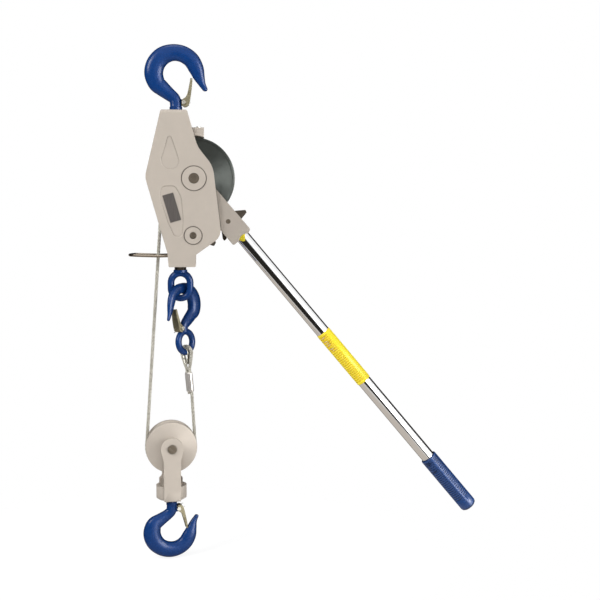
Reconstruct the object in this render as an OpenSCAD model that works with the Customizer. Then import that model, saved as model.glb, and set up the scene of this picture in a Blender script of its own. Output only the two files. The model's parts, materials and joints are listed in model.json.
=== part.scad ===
// Come along winch: a hand ratchet hoist for wire rope, rigged with a double line.
// Sizes are in millimetres. +X is right, -Y is the front, +Z is up.
// The origin is the saddle of the top hook, where the load hangs.

/* [Frame] */
// Height of the top of the frame below the hook saddle
frame_top = 82; // [80:1:88]
// Height of the frame
frame_h = 257; // [255:1:262]
// Thickness of each frame plate
plate_t = 6; // [5:0.5:8]
// Thickness of the head that carries the top hook
top_head_t = 14; // [10:1:16]
// Thickness of the head that carries the lower ring
low_head_t = 10; // [8:1:11]
// Thickness of the wall on the closed side of the frame
side_wall_t = 4; // [3:0.5:5]
// Height of the raised bosses on the plates
boss_h = 1.5; // [1:0.1:2.5]
// Depth of the sunk panels and of the groove round each boss
panel_sink = 1; // [0.6:0.1:1.5]
// Diameter of the raised boss round the drum axle
axle_boss_d = 39; // [32:1:42]
// Diameter of the raised boss round the pawl shaft
pawl_boss_d = 28; // [22:1:30]

/* [Drum] */
// Distance of the drum axle right of the hook axis
drum_x = 29; // [28:0.5:30]
// Distance of the drum axle below the hook saddle
drum_drop = 193.5; // [192:0.5:195]
// Diameter of the dark side discs
disc_d = 135; // [134:1:136]
// Thickness of the side discs
disc_t = 2.5; // [2:0.25:3]
// Inside width of the spool
spool_w = 36; // [34:1:40]
// Diameter of the spool's barrel
spool_d = 56; // [50:1:60]
// Diameter of the drum axle
axle_d = 20; // [16:1:22]
// Diameter over the ratchet teeth
ratchet_d = 130; // [129.5:0.25:130.5]
// Depth of the ratchet teeth
tooth_h = 7; // [6:0.5:8]
// Thickness of each ratchet wheel
ratchet_t = 5; // [4:0.5:7]

/* [Rope] */
// Diameter of the wire rope
rope_d = 5.6; // [5:0.1:6]
// Radius of the outer layer of rope, measured to the middle of the rope
wind_r = 51; // [48:0.5:53]
// Gap between neighbouring turns on the drum
wind_gap = 0.5; // [0.45:0.05:0.8]
// Length of the ferrule that closes the rope's eye
ferrule_l = 33; // [28:1:38]

/* [Hooks] */
// Radius of the bowl of the top hook
bowl_r = 23.2; // [21:0.2:24]
// Radius of the bowl of the block's hook
block_bowl_r = 20.5; // [19.5:0.1:21.5]
// Radius of the bowl of the end hook
end_bowl_r = 19.5; // [19:0.1:20]
// Width of the end hook's bar for each unit of the other hooks' width
end_hook_slim = 0.7; // [0.66:0.01:0.74]
// Width of the back of the hook for each unit of bowl radius
back_share = 1.38; // [1.3:0.02:1.44]
// Width of the hook at the end of the bowl for each unit of bowl radius
nose_share = 1.08; // [1:0.02:1.14]
// Thickness of the forging for each unit of its width
thick_share = 0.68; // [0.6:0.01:0.72]
// Diameter of the swivel shanks
shank_d = 14; // [12:0.5:16]
// Diameter of the collars under the hooks
collar_d = 21; // [19:0.5:24]
// Thickness of the sheet metal of the latches
latch_t = 1.5; // [1.2:0.1:2]
// Diameter of the latch pins
latch_pin_d = 4; // [3.5:0.25:4.5]

/* [Lower ring] */
// Distance of the ring's axis right of the hook axis
ring_x = 5; // [4:0.5:6]
// Outside width of the ring
ring_w = 43.6; // [43:0.2:46]
// Outside height of the ring
ring_h = 53.5; // [52:0.5:56]
// Diameter of the ring's bar
ring_bar_d = 11.5; // [10.5:0.25:11.5]
// Gap between the frame and the top of the ring
ring_drop = 6.3; // [6:0.1:8]

/* [Handle] */
// Angle between the handle and straight down
handle_angle = 39.9; // [34:0.1:60]
// Distance from the drum axle to the end of the grip
handle_l = 742; // [600:1:760]
// Diameter of the handle tube
tube_d = 25.4; // [24:0.2:26]
// Wall of the handle tube
tube_wall = 2; // [1.5:0.25:3]
// Length of the yoke from the drum axle
yoke_l = 126; // [124:1:132]
// Width of the yoke arms
yoke_w = 40; // [38:1:44]
// Thickness of each yoke arm
yoke_t = 5; // [4:0.5:6]
// Diameter of the blue grip
grip_d = 31; // [29:0.5:34]
// Length of the blue grip
grip_l = 117; // [100:1:130]
// Diameter of the yellow sleeve
sleeve_d = 28; // [27:0.25:30]
// Length of the yellow sleeve
sleeve_l = 111; // [90:1:120]
// Distance from the drum axle to the yellow sleeve
sleeve_at = 338; // [250:1:400]

/* [Pulley block] */
// Drop of the pulley's axle below the hook saddle
block_drop = 646; // [600:1:700]
// Distance of the pulley's axle left of the hook axis
block_x = 13.7; // [12:0.1:15]
// Turn of the block about the upright
block_yaw = 6; // [0:1:10]
// Diameter over the pulley's flanges
sheave_d = 85.6; // [85:0.2:90]
// Width over the pulley's flanges
sheave_w = 17; // [14:0.5:20]
// Width over the block's arms
block_w = 54; // [50:1:58]
// Width of each arm of the block
arm_w = 28.6; // [26:0.2:32]
// Thickness of each arm of the block
arm_t = 5.5; // [4.5:0.25:6.5]
// Diameter of the block's cup
cup_d = 51.4; // [49:0.2:52]
// Height of the block's cup
cup_h = 30; // [26:1:34]
// Diameter of the pulley's pin
sheave_pin_d = 12; // [10:0.5:14]

/* [Hidden] */

// Clearances that the pieces share
run_gap = 0.05;      // radial clearance of a pin in its bore
side_gap = 0.5;      // gap between faces that slide past each other
soft_gap = 0.35;     // gap between the rope and what it doesn't touch
bead = 0.4;          // small step that keeps two curved faces apart
rope_trim = 0.2;     // gap between a strand's end and what it meets

// Colours
cast_grey = "#C6BDB2";
hook_blue = "#163C86";
dark_steel = "#4A4D4C";
zinc = "#C9CBC6";
black_steel = "#34312E";
chrome = "#D9DBDD";
yellow = "#F2D500";
grip_blue = "#1E4F9C";
rope_grey = "#B9B9AE";
bronze = "#A9814A";

// ---------- positions worked out from the sizes ----------
drum_c = [drum_x, -drum_drop];
plate_in = spool_w/2 + ratchet_t + disc_t + side_gap + yoke_t + side_gap + 0.1;
plate_out = plate_in + plate_t;
frame_bottom = -(frame_top + frame_h);
yoke_out = plate_in - side_gap - 0.1;
yoke_in = yoke_out - yoke_t;
wheel_in = spool_w/2;
wheel_out = wheel_in + ratchet_t;
pawl_c = drum_c + [-2, -93.5];
pawl_shaft_d = 12;
sheave_c = [-block_x, -block_drop];
pitch_r = sheave_d/2 - rope_d/2 - 1;
ring_low = frame_bottom - ring_drop - ring_h + ring_bar_d/2;
lead_turn = -atan((sheave_c[0] + pitch_r - ring_x)/(block_drop + ring_low));

// ---------- small helpers ----------
module at(p) { translate([p[0], 0, p[1]]) children(); }
// Flat outline in X and Z, thick from y0 to y1
module slab(y0, y1) {
  translate([0, y1, 0]) rotate([90, 0, 0]) linear_extrude(y1 - y0) children();
}
module rod_y(d, y0, y1) {
  translate([0, y1, 0]) rotate([90, 0, 0]) cylinder(d = d, h = y1 - y0, $fn = 64);
}
module rod_z(d, z0, z1) { translate([0, 0, z0]) cylinder(d = d, h = z1 - z0, $fn = 64); }
module hex_z(af, z0, z1) {
  translate([0, 0, z0]) cylinder(d = af/cos(30), h = z1 - z0, $fn = 6);
}
// Socket head screw along Y with its head at the front, the head's outer face at y0
module socket_screw(d, head_d, head_h, y0, y1) {
  difference() {
    union() {
      rod_y(head_d, y0, y0 + head_h);
      rod_y(d, y0, y1);
    }
    translate([0, y0 + head_h*0.7, 0]) rotate([90, 0, 0])
      cylinder(d = head_d*0.55, h = head_h, $fn = 6);
  }
}
function unit(v) = v/norm(v);
function turn2(a, r) = [r*cos(a), r*sin(a)];
function mix(a, b, t) = a + (b - a)*t;

// Outline through corners [x, z, radius], each rounded by its own arc
function round_corner(a, b, c, r, n) =
  let (
    u = unit([a[0] - b[0], a[1] - b[1]]),
    v = unit([c[0] - b[0], c[1] - b[1]]),
    half = acos(max(-1, min(1, u*v)))/2,
    d = r/tan(half),
    p = [b[0], b[1]] + u*d,
    q = [b[0], b[1]] + v*d,
    m = [b[0], b[1]] + unit(u + v)*(r/sin(half)),
    a0 = atan2(p[1] - m[1], p[0] - m[0]),
    a1 = atan2(q[1] - m[1], q[0] - m[0]),
    turn = ((a1 - a0 + 540) % 360) - 180
  ) [for (i = [0:n]) m + turn2(a0 + turn*i/n, r)];
function rounded(corners) =
  let (n = len(corners))
  [for (i = [0:n - 1]) each round_corner(corners[(i + n - 1) % n], corners[i],
    corners[(i + 1) % n], corners[i][2], corners[i][2] > 8 ? 8 : 4)];

// Skin over rings: each ring sits on path[i], its first half-axis ra[i] lies along ref[i]
function ring_at(p, t, ref, ra, rb, sides) =
  let (n = unit(ref - (ref*t)*t), b = cross(t, n))
  [for (k = [0:sides - 1]) let (a = 360*k/sides) p + n*(ra*cos(a)) + b*(rb*sin(a))];
function tangent(path, i) = unit(path[min(i + 1, len(path) - 1)] - path[max(i - 1, 0)]);
function skin_points(path, refs, ra, rb, sides) =
  [for (i = [0:len(path) - 1]) each ring_at(path[i], tangent(path, i), refs[i], ra[i], rb[i], sides)];
function skin_faces(rings, sides) = concat(
  [[for (k = [0:sides - 1]) k]],
  [for (i = [0:rings - 2]) for (k = [0:sides - 1]) each [
    [i*sides + k, (i + 1)*sides + k, (i + 1)*sides + (k + 1) % sides],
    [i*sides + k, (i + 1)*sides + (k + 1) % sides, i*sides + (k + 1) % sides]]],
  [[for (k = [sides - 1:-1:0]) (rings - 1)*sides + k]]);
module skin(path, refs, ra, rb, sides) {
  polyhedron(skin_points(path, refs, ra, rb, sides), skin_faces(len(path), sides), convexity = 6);
}
// Round tube of one diameter along a path, with one reference direction for all its rings
module tube_along(path, ref, d, sides) {
  n = len(path);
  skin(path, [for (i = [1:n]) ref], [for (i = [1:n]) d/2], [for (i = [1:n]) d/2], sides);
}
// Smooth curve through points of any size, with m steps between neighbours
function smooth_at(p0, p1, p2, p3, t) =
  0.5*((2*p1) + (p2 - p0)*t + (2*p0 - 5*p1 + 4*p2 - p3)*t*t + (3*p1 - p0 - 3*p2 + p3)*t*t*t);
function smooth(p, m) =
  let (n = len(p)) concat(
    [for (i = [0:n - 2]) for (j = [0:m - 1])
      smooth_at(p[max(i - 1, 0)], p[i], p[i + 1], p[min(i + 2, n - 1)], j/m)],
    [p[n - 1]]);

// ---------- hooks ----------
// The forging lies in X and Z with its bowl centred on the origin and its shank below.
// A station is [x, z, half width], in shares of the bowl radius.
function bowl_half(a) =
  let (t = (a - 165)/147) back_share/2 - (back_share - nose_share)/2*t*t;
function bowl_station(a, slim) = let (h = bowl_half(a)*slim) [(1 + h)*cos(a), (1 + h)*sin(a), h];
neck_stations = [[0, -2.28, 0.42], [0, -1.98, 0.43], [-0.14, -1.68, 0.5], [-0.58, -1.36, 0.57],
  [-1.1, -1.02, 0.62]];
tip_stations = [[1.65, -0.1, 0.4], [1.82, -0.6, 0.25], [1.98, -0.95, 0.17], [2.07, -1.13, 0.11],
  [2.1, -1.19, 0.04]];
function hook_stations(slim) = concat(
  [for (s = neck_stations) [s[0], s[1], s[2]*slim]],
  [for (a = [203:-26.43:17]) bowl_station(a, slim)],
  [for (s = tip_stations) [s[0] - (1 - slim)*0.5, s[1], s[2]*mix(slim, 1, 0.4)]]);
hook_steps = 2;
hook_sides = 14;
// Half thickness follows the half width, but the tip stays blunt and the neck round
function hook_half_t(s, i, n) =
  let (h = s[2], neck = max(0, 1 - i/6), tip = max(0, (i - n + 12)/12))
  h*mix(mix(thick_share, 0.98, neck), 1.05, tip);

module hook_forging(r, slim = 1) {
  s = smooth(hook_stations(slim), hook_steps);
  n = len(s);
  path = [for (p = s) [p[0]*r, 0, p[1]*r]];
  across = [for (i = [0:n - 1]) cross(tangent(path, i), [0, 1, 0])];
  skin(path, across, [for (p = s) p[2]*r], [for (i = [0:n - 1]) hook_half_t(s[i], i, n)*r], hook_sides);
}
// Latch pivot, and the end of its blade, in shares of the bowl radius
latch_pivot = [0.56, -1.92];
latch_end = [1.06, -0.12];
function latch_half(r) = r*0.2 + 0.9;
module latch_lug_solid(r) {
  slab(-1, latch_half(r)) difference() {
    polygon([[-0.1*r, latch_pivot[1]*r - 5.2], [latch_pivot[0]*r, latch_pivot[1]*r - 5],
      [latch_pivot[0]*r + 5, latch_pivot[1]*r - 1], [latch_pivot[0]*r + 4.6, latch_pivot[1]*r + 3],
      [latch_pivot[0]*r, latch_pivot[1]*r + 5.2], [-0.1*r, latch_pivot[1]*r + 6]]);
    translate(latch_pivot*r) circle(d = latch_pin_d, $fn = 32);
  }
}
// Sheet metal channel that closes the throat, pivoted on the pin
module latch_sheet(r) {
  half = latch_half(r) + 0.3;
  p = latch_pivot*r;
  q = latch_end*r;
  d = unit(q - p);
  s = [d[1], -d[0]];
  side = concat([for (a = [150:30:330]) p + turn2(a + atan2(d[1], d[0]) - 60, 4.6)],
    [p + s*4.6 + d*6, q + s*1.6, q + s*0.2 + d*1.4, q - s*1.4, p - s*3 + d*9]);
  difference() {
    union() {
      for (y = [-half - latch_t, half]) slab(y, y + latch_t) polygon(side);
      slab(-half - latch_t, half + latch_t)
        polygon([p + s*4.6 + d*7, q + s*1.6, q + s*0.2 + d*1.4, q + s*0.1, p + s*3.1 + d*7]);
    }
    at(p) rod_y(latch_pin_d + 2*run_gap, -half - 4, half + 4);
    // The blade narrows to the width of the hook's tip
    for (m = [-1, 1]) at(q) rotate([0, 90 - atan2(d[1], d[0]), 0])
      translate([0, m*(half + latch_t + 4.5), 0]) rotate([m*6, 0, 0])
        translate([-15, -3, -20]) cube([30, 6, 24]);
  }
}
module latch_pin_solid(r) {
  half = latch_half(r) + 0.3 + latch_t;
  at(latch_pivot*r) {
    rod_y(latch_pin_d, -half - 0.6, half + 0.6);
    rod_y(latch_pin_d + 2.6, -half - 2, -half - 0.35);
    rod_y(latch_pin_d + 2.6, half + 0.35, half + 2);
  }
}
// A coil of this many chords a turn, whose chords clear the hub inside it
coil_steps = 12;
function coil_radius(hub, wire) = (hub/2 + wire/2 + 0.3)/cos(180/coil_steps);
// Wound wire spring on the latch pin, with one leg along the blade and one along the neck
module latch_spring_solid(r) {
  half = latch_half(r);
  wire = 1;
  turns = 2.5;
  coil_r = coil_radius(latch_pin_d, wire);
  y0 = -1 - wire*0.75 - 0.3;
  y1 = -half + wire*0.5 - 0.1;
  steps = coil_steps*turns;
  coil = [for (i = [0:steps]) let (a = 70 + 360*turns*i/steps)
    [coil_r*cos(a), mix(y0, y1, i/steps), coil_r*sin(a)]];
  leg = unit([latch_end[0] - latch_pivot[0], 0, latch_end[1] - latch_pivot[1]]);
  leg0 = [for (s = [11, 4]) coil[0] + [sin(70), 0, -cos(70)]*s];
  leg1 = [for (s = [4, 11]) coil[steps] + [-sin(250), 0, cos(250)]*s];
  at(latch_pivot*r) tube_along(concat(leg0, coil, leg1), [0, 1, 0], wire, 6);
}

// ---------- frame ----------
frame_outline = [[-24, -frame_top, 3], [18.5, -frame_top, 3], [35.2, -141.5, 40], [60.3, -173.8, 45],
  [73.4, -289, 22], [31.3, frame_bottom + 20, 2], [31, frame_bottom, 2], [-13.5, frame_bottom, 2],
  [-15.3, frame_bottom + 23, 25], [-50.5, -191, 30]];
module frame_shape() { polygon(rounded(frame_outline)); }
// Sunk teardrop: a small round end above, joined to a large one below
drop_top = [-10, -129, 3.6];
drop_low = [-9.6, -164.7, 14];
module teardrop_shape() {
  hull() for (c = [drop_top, drop_low]) translate([c[0], c[1]]) circle(r = c[2], $fn = 32);
}
// Sunk panel that carries the plate, with a wavy right side
panel_corners = [[-25.5, -207, 9], [-2, -206, 8], [8, -224, 40], [10.8, -262, 30], [8.8, -288.5, 6],
  [-3.5, -288.5, 7], [-13.5, -266, 12], [-25.5, -228, 14]];
module panel_shape() { polygon(rounded(panel_corners)); }
// Pocket sunk in the front face, its walls flared by the draft of the casting
wall_draft = 1.1;
module sunk(centre, size) {
  deep = panel_sink + 1;
  flare = 2*wall_draft*deep/panel_sink;
  translate([centre[0], -plate_out + panel_sink, centre[1]]) rotate([90, 0, 0])
    linear_extrude(deep, scale = [1 + flare/size[0], 1 + flare/size[1]]) translate(-centre) children();
}
axle_screw_d = 10;
axle_head_d = 16.4;
pawl_screw_d = 6;
pawl_head_d = 10.4;
screw_spots = [[-13, -frame_top - 7], [12.5, -frame_top - 7], [-6, frame_bottom + 5], [22, frame_bottom + 5]];
frame_screw_d = 5;
top_roll = 5;        // radius of the rolled top edge of each plate

module boss_rim(d) {
  slab(-plate_out - boss_h, -plate_out + 2) circle(d = d, $fn = 96);
}
// Groove that sets a boss off from its plate
module boss_groove(d) {
  slab(-plate_out - 1, -plate_out + panel_sink) difference() {
    circle(d = d + 2.2, $fn = 96);
    circle(d = d, $fn = 96);
  }
}
module rolled_top() {
  translate([-40, -plate_out + top_roll, -frame_top - top_roll]) difference() {
    translate([0, -top_roll - 1, 0]) cube([80, top_roll + 1, top_roll + 1]);
    rotate([0, 90, 0]) translate([0, 0, -1]) cylinder(r = top_roll, h = 82, $fn = 64);
  }
}
module plain_plate() {
  difference() {
    slab(-plate_out, -plate_in) frame_shape();
    rolled_top();
    at(drum_c) boss_groove(axle_boss_d);
    at(pawl_c) boss_groove(pawl_boss_d);
  }
}
module plate_pockets() {
  // Seats for the axle and the pawl shaft, and counterbores for their screws
  at(drum_c) {
    rod_y(axle_d + 2*run_gap, -plate_in - 2, -plate_in + 1);
    rod_y(axle_screw_d + 0.4, -plate_out - 3, -plate_in);
    rod_y(axle_head_d + 1, -plate_out - 3, -plate_out - boss_h + 4);
  }
  at(pawl_c) {
    rod_y(pawl_shaft_d + 2*run_gap, -plate_in - 2, -plate_in + 1);
    rod_y(pawl_screw_d + 0.4, -plate_out - 3, -plate_in);
    rod_y(pawl_head_d + 1, -plate_out - 3, -plate_out - boss_h + 4);
  }
}
module frame_front() {
  color(cast_grey) difference() {
    union() {
      plain_plate();
      at(drum_c) boss_rim(axle_boss_d);
      at(pawl_c) boss_rim(pawl_boss_d);
    }
    sunk([-9.8, -152], [28, 53]) teardrop_shape();
    sunk([-7.8, -247.5], [35, 81]) panel_shape();
    plate_pockets();
    for (p = screw_spots) at(p) rod_y(frame_screw_d, -plate_out + 2, -plate_in + 1);
  }
}
module head_area(top, bottom) {
  intersection() {
    frame_shape();
    translate([-60, bottom]) square([140, top - bottom]);
  }
}
guard_c = [37, -116.5];
module rim_guard() {
  // Lug over the rim of the drum that ties the two plates
  slab(-plate_in, plate_in + 0.5) difference() {
    translate([24, -127]) square([22, 16.5]);
    translate(drum_c) circle(r = disc_d/2 + 2.2, $fn = 96);
  }
}
module frame_rear() {
  color(cast_grey) difference() {
    union() {
      mirror([0, 1, 0]) plain_plate();
      slab(-plate_in, plate_in + 0.5) head_area(-frame_top, -frame_top - top_head_t);
      slab(-plate_in, plate_in + 0.5) head_area(frame_bottom + low_head_t, frame_bottom);
      slab(-plate_in, plate_in + 0.5) intersection() {
        difference() {
          frame_shape();
          translate([side_wall_t*1.04, 0]) frame_shape();
        }
        translate([-60, -232]) square([60, 232 - frame_top]);
      }
      rim_guard();
      mirror([0, 1, 0]) {
        at(drum_c) boss_rim(axle_boss_d);
        at(pawl_c) boss_rim(pawl_boss_d);
      }
    }
    mirror([0, 1, 0]) plate_pockets();
    translate([0, 0, -frame_top - top_head_t - 1]) cylinder(d = shank_d + 2*run_gap, h = top_head_t + 3, $fn = 64);
    translate([ring_x, 0, frame_bottom - 1])
      cylinder(d = shank_d - 2 + 2*run_gap, h = low_head_t + 3, $fn = 64);
    for (p = screw_spots) at(p) {
      rod_y(frame_screw_d + 0.4, -plate_in - 1, plate_out + 1);
      rod_y(9.4, plate_out - 3, plate_out + 1);
    }
    translate([guard_c[0], 0, -120]) cylinder(d = 4.2, h = 12, $fn = 32);
  }
}
module frame_screws() {
  color(black_steel) for (p = screw_spots) at(p)
    mirror([0, 1, 0]) socket_screw(frame_screw_d - 0.2, 8.6, 4, -plate_out - 1, plate_out - 2.4);
}
module rim_guard_screw() {
  color(zinc) translate([guard_c[0], 0, -110.5]) {
    difference() {
      union() {
        rod_z(7.6, 0, 3.2);
        rod_z(4, -8, 1);
      }
      translate([0, 0, 1.6]) cylinder(d = 4.2, h = 3, $fn = 6);
    }
  }
}
// Plain plate in the sunk panel
name_plate_c = [-7.4, -241.5];
name_plate_size = [18, 46];
module name_plate() {
  color(dark_steel) at(name_plate_c) rotate([0, -16, 0])
    slab(-plate_out + panel_sink - 0.5, -plate_out + panel_sink) square(name_plate_size, center = true);
}
module drum_axle() { color(zinc) at(drum_c) difference() {
    rod_y(axle_d, -plate_in - 2, plate_in + 2);
    rod_y(axle_screw_d, -plate_in - 3, -plate_in + 18);
    rod_y(axle_screw_d, plate_in - 18, plate_in + 3);
  } }
module axle_screws() {
  color(black_steel) at(drum_c) for (m = [0, 1]) mirror([0, m, 0])
    socket_screw(axle_screw_d - 0.2, axle_head_d, 3.6, -plate_out - boss_h + 0.4, -plate_in + 16);
}
module pawl_shaft() { color(zinc) at(pawl_c) difference() {
    rod_y(pawl_shaft_d, -plate_in - 2, plate_in + 2);
    rod_y(pawl_screw_d, -plate_in - 3, -plate_in + 14);
    rod_y(pawl_screw_d, plate_in - 14, plate_in + 3);
  } }
module pawl_shaft_screws() {
  color(black_steel) at(pawl_c) for (m = [0, 1]) mirror([0, m, 0])
    socket_screw(pawl_screw_d - 0.2, pawl_head_d, 3.6, -plate_out - boss_h + 0.4, -plate_in + 12);
}

// ---------- drum ----------
teeth = 18;
// Turn of the wheels that puts the pawls over gaps between teeth
tooth_phase = 2;
bush_d = axle_d + 6;
module ratchet_shape() {
  r = ratchet_d/2;
  polygon([for (i = [0:teeth - 1]) let (a = tooth_phase + 360*i/teeth) each [
    turn2(a, r - tooth_h), turn2(a + 2, r - tooth_h), turn2(a + 180/teeth, r - tooth_h*0.5),
    turn2(a + 360/teeth - 2, r), turn2(a + 360/teeth - 0.01, r)]]);
}
module ratchet_wheel(y0) {
  color(dark_steel) at(drum_c) difference() {
    slab(y0, y0 + ratchet_t) ratchet_shape();
    rod_y(bush_d + 2*run_gap, y0 - 1, y0 + ratchet_t + 1);
    for (i = [0:5]) rotate([0, 60*i, 0]) translate([rivet_r, 0, 0])
      rod_y(rivet_d, y0 - 1, y0 + ratchet_t + 1);
  }
}
rivet_r = 21;
rivet_d = 5;
module ratchet_front() { ratchet_wheel(-wheel_out); }
module ratchet_rear() { ratchet_wheel(wheel_in); }
// Turned disc with a raised rim; its outer face looks along -Z of the profile
module drum_disc() {
  r = disc_d/2;
  difference() {
    rotate_extrude($fn = 128) polygon([[0, 0], [r - 1, 0], [r, 0.8], [r, disc_t - 0.8], [r - 1, disc_t],
      [r - 3.5, disc_t], [r - 5, disc_t - 0.5], [axle_boss_d/2 + 12, disc_t - 1.2], [axle_boss_d/2 + 8, disc_t],
      [0, disc_t]]);
    translate([0, 0, -1]) cylinder(d = bush_d + 2*run_gap, h = disc_t + 2, $fn = 64);
    for (i = [0:5]) rotate([0, 0, 60*i]) translate([rivet_r, 0, -1])
      cylinder(d = rivet_d, h = disc_t + 2, $fn = 32);
  }
}
module disc_front() {
  color(dark_steel) at(drum_c) translate([0, -wheel_out, 0]) rotate([90, 0, 0]) drum_disc();
}
module disc_rear() {
  color(dark_steel) at(drum_c) translate([0, wheel_out, 0]) rotate([-90, 0, 0]) drum_disc();
}
module spool() {
  color(cast_grey) at(drum_c) difference() {
    rod_y(spool_d, -wheel_in, wheel_in);
    rod_y(bush_d + 2*run_gap, -wheel_in - 1, wheel_in + 1);
    for (i = [0:5]) rotate([0, 60*i, 0]) translate([rivet_r, 0, 0])
      rod_y(rivet_d, -wheel_in - 1, wheel_in + 1);
  }
}
module drum_bush() {
  color(bronze) at(drum_c) difference() {
    rod_y(bush_d, -wheel_out - disc_t, wheel_out + disc_t);
    rod_y(axle_d + 2*run_gap, -wheel_out - 5, wheel_out + 5);
  }
}
module drum_rivets() {
  color(zinc) at(drum_c) for (i = [0:5]) rotate([0, 60*i, 0]) translate([rivet_r, 0, 0])
    rod_y(rivet_d - 0.1, -wheel_out - disc_t, wheel_out + disc_t);
}
// The turns under the outer layer, as one plain core
module rope_lower_layers() {
  color(rope_grey) at(drum_c) difference() {
    rod_y(2*(wind_r*cos(180/wind_rings) - rope_d/2 - 0.1), -wheel_in + soft_gap, wheel_in - soft_gap);
    rod_y(spool_d, -wheel_in - 1, wheel_in + 1);
  }
}
wind_step = rope_d + wind_gap;
wind_bend = 6;
wind_y0 = wheel_in - rope_d - wind_bend;
wind_y1 = -(wheel_in - rope_d/2 - 1.8);
wind_turns = (wind_y0 - wind_y1)/wind_step;
strand_y = -pitch_r*sin(block_yaw);
// Angle of the point where the left strand leaves the drum and meets the pulley
to_block = sheave_c - drum_c;
leave_a = atan2(to_block[1], to_block[0]) + 360 - acos((wind_r - pitch_r)/norm(to_block));
function on_drum(a, y) = [drum_c[0] + wind_r*cos(a), y, drum_c[1] + wind_r*sin(a)];
leave_p = on_drum(leave_a, wind_y1);
meet_p = [sheave_c[0] + pitch_r*cos(leave_a)*cos(block_yaw), strand_y, sheave_c[1] + pitch_r*sin(leave_a)];
strand_dir = unit(meet_p - leave_p);
wind_rings = 24;
wind_start_a = leave_a - 360*wind_turns;
function unrolled(s, y) = on_drum(wind_start_a + s/wind_r*180/PI, y);
wind_path = concat(
  [unrolled(-wind_bend, wheel_in), unrolled(-wind_bend, wheel_in - rope_d/2)],
  [for (t = [0:22.5:67.5]) unrolled(-wind_bend*cos(t), wheel_in - rope_d - wind_bend*sin(t))],
  [for (i = [0:ceil(wind_turns*wind_rings)]) let (t = i/ceil(wind_turns*wind_rings))
    on_drum(wind_start_a + 360*wind_turns*t, mix(wind_y0, wind_y1, t))],
  [leave_p + strand_dir*rope_d/2, leave_p + strand_dir*rope_d]);
function out_of_drum(p) = unit([p[0] - drum_c[0], 0, p[2] - drum_c[1]]);
wind_gaps = [for (i = [0:len(wind_path) - 1]) for (j = [i + wind_rings/2:len(wind_path) - 1])
  norm(wind_path[i] - wind_path[j]) - rope_d];
module rope_winding() {
  n = len(wind_path);
  radii = [for (p = wind_path) rope_d/2];
  echo(winding_least_gap = min(wind_gaps));
  color(rope_grey) skin(wind_path, [for (p = wind_path) out_of_drum(p)], radii, radii, 6);
}

// ---------- holding pawl and its release bail ----------
// Both pawls are drawn with the nose against the steep face of a tooth, then lifted clear of the teeth
nose_ahead = 2.5;    // angle between the nose and the face, in degrees
nose_r = 60;
hold_face = tooth_phase - 140;
hold_lift = 6;
hold_hub_d = 24;
// Corner of a nose: angle past the face and radius, both about the drum axle
function polar_nose(face, a, r) = turn2(face + nose_ahead + a, r);
function nose_points(face) = [polar_nose(face, 0, nose_r), polar_nose(face, 7.5, nose_r + 4),
  polar_nose(face, 17, ratchet_d/2 + 3.5)];
module holding_pawl() {
  nose = [for (q = nose_points(hold_face)) q + drum_c - pawl_c];
  end = polar_nose(hold_face, -0.5, nose_r + 9.5) + drum_c - pawl_c;
  color(dark_steel) at(pawl_c) difference() {
    union() {
      rod_y(hold_hub_d, -wheel_out + side_gap, wheel_out - side_gap);
      rotate([0, -hold_lift, 0]) for (y = [-wheel_out + side_gap + 0.3, wheel_in]) slab(y, y + ratchet_t - side_gap - 0.3)
        polygon([nose[0], nose[1], nose[2], [-4, 8], [7, 5], [3, -7.5], [-7.5, -6], end]);
      // Tail that is pressed to lift the nose
      slab(-wheel_in + 1, -wheel_in + 9)
        polygon(rounded([[0, 8.5, 1], [22, -3.5, 12], [38.5, -11, 2.4], [34.5, -18.5, 2.4], [18, -13, 12],
          [-1, -8.5, 1]]));
    }
    rod_y(pawl_shaft_d + 2*run_gap, -wheel_out - 5, wheel_out + 5);
  }
}
bail_d = 4.4;
bail_half = 25;
bail_reach = 81;
bail_z = frame_bottom + 19;
module release_bail() {
  root = [pawl_c[0] - 8.4, pawl_c[1] - 2];
  hub_end = wheel_out - side_gap;
  front = [[root[0], -hub_end, root[1]], [root[0], -hub_end - 0.8, root[1]], [root[0], -hub_end - 1.6, root[1]],
    [root[0] - 1.5, -bail_half, root[1] - 4], [root[0] - 7, -bail_half, bail_z + 14],
    [root[0] - 15, -bail_half, bail_z + 5], [root[0] - 27, -bail_half, bail_z],
    [root[0] - 43, -bail_half, bail_z - 1.4], [-44, -bail_half, bail_z - 1], [-62, -bail_half, bail_z - 0.4]];
  rear = [for (i = [len(front) - 1:-1:0]) [front[i][0], -front[i][1], front[i][2]]];
  bend = [for (a = [-72:18:72]) [-bail_reach + 14 - 12*cos(a), bail_half*sin(a)/sin(78), bail_z]];
  path = smooth(concat(front, bend, rear), 2);
  color(zinc) skin(path, [for (i = [0:len(path) - 1]) unit([0.35, 0.2, 1])],
    [for (p = path) bail_d/2], [for (p = path) bail_d/2], 8);
}
module holding_pawl_spring() {
  wire = 1.4;
  coil_r = coil_radius(hold_hub_d, wire);
  turns = 3;
  steps = coil_steps*turns;
  coil = [for (i = [0:steps]) let (a = 300 + 360*turns*i/steps)
    [pawl_c[0] + coil_r*cos(a), -2 + i*(wire + 0.5)/coil_steps, pawl_c[1] + coil_r*sin(a)]];
  leg0 = [for (s = [12, 4]) coil[0] + [sin(300), 0, -cos(300)]*s];
  leg1 = [for (s = [4, 12]) coil[steps] + [-sin(300), 0, cos(300)]*s];
  color(zinc) tube_along(concat(leg0, coil, leg1), [0, 1, 0], wire, 6);
}

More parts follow.
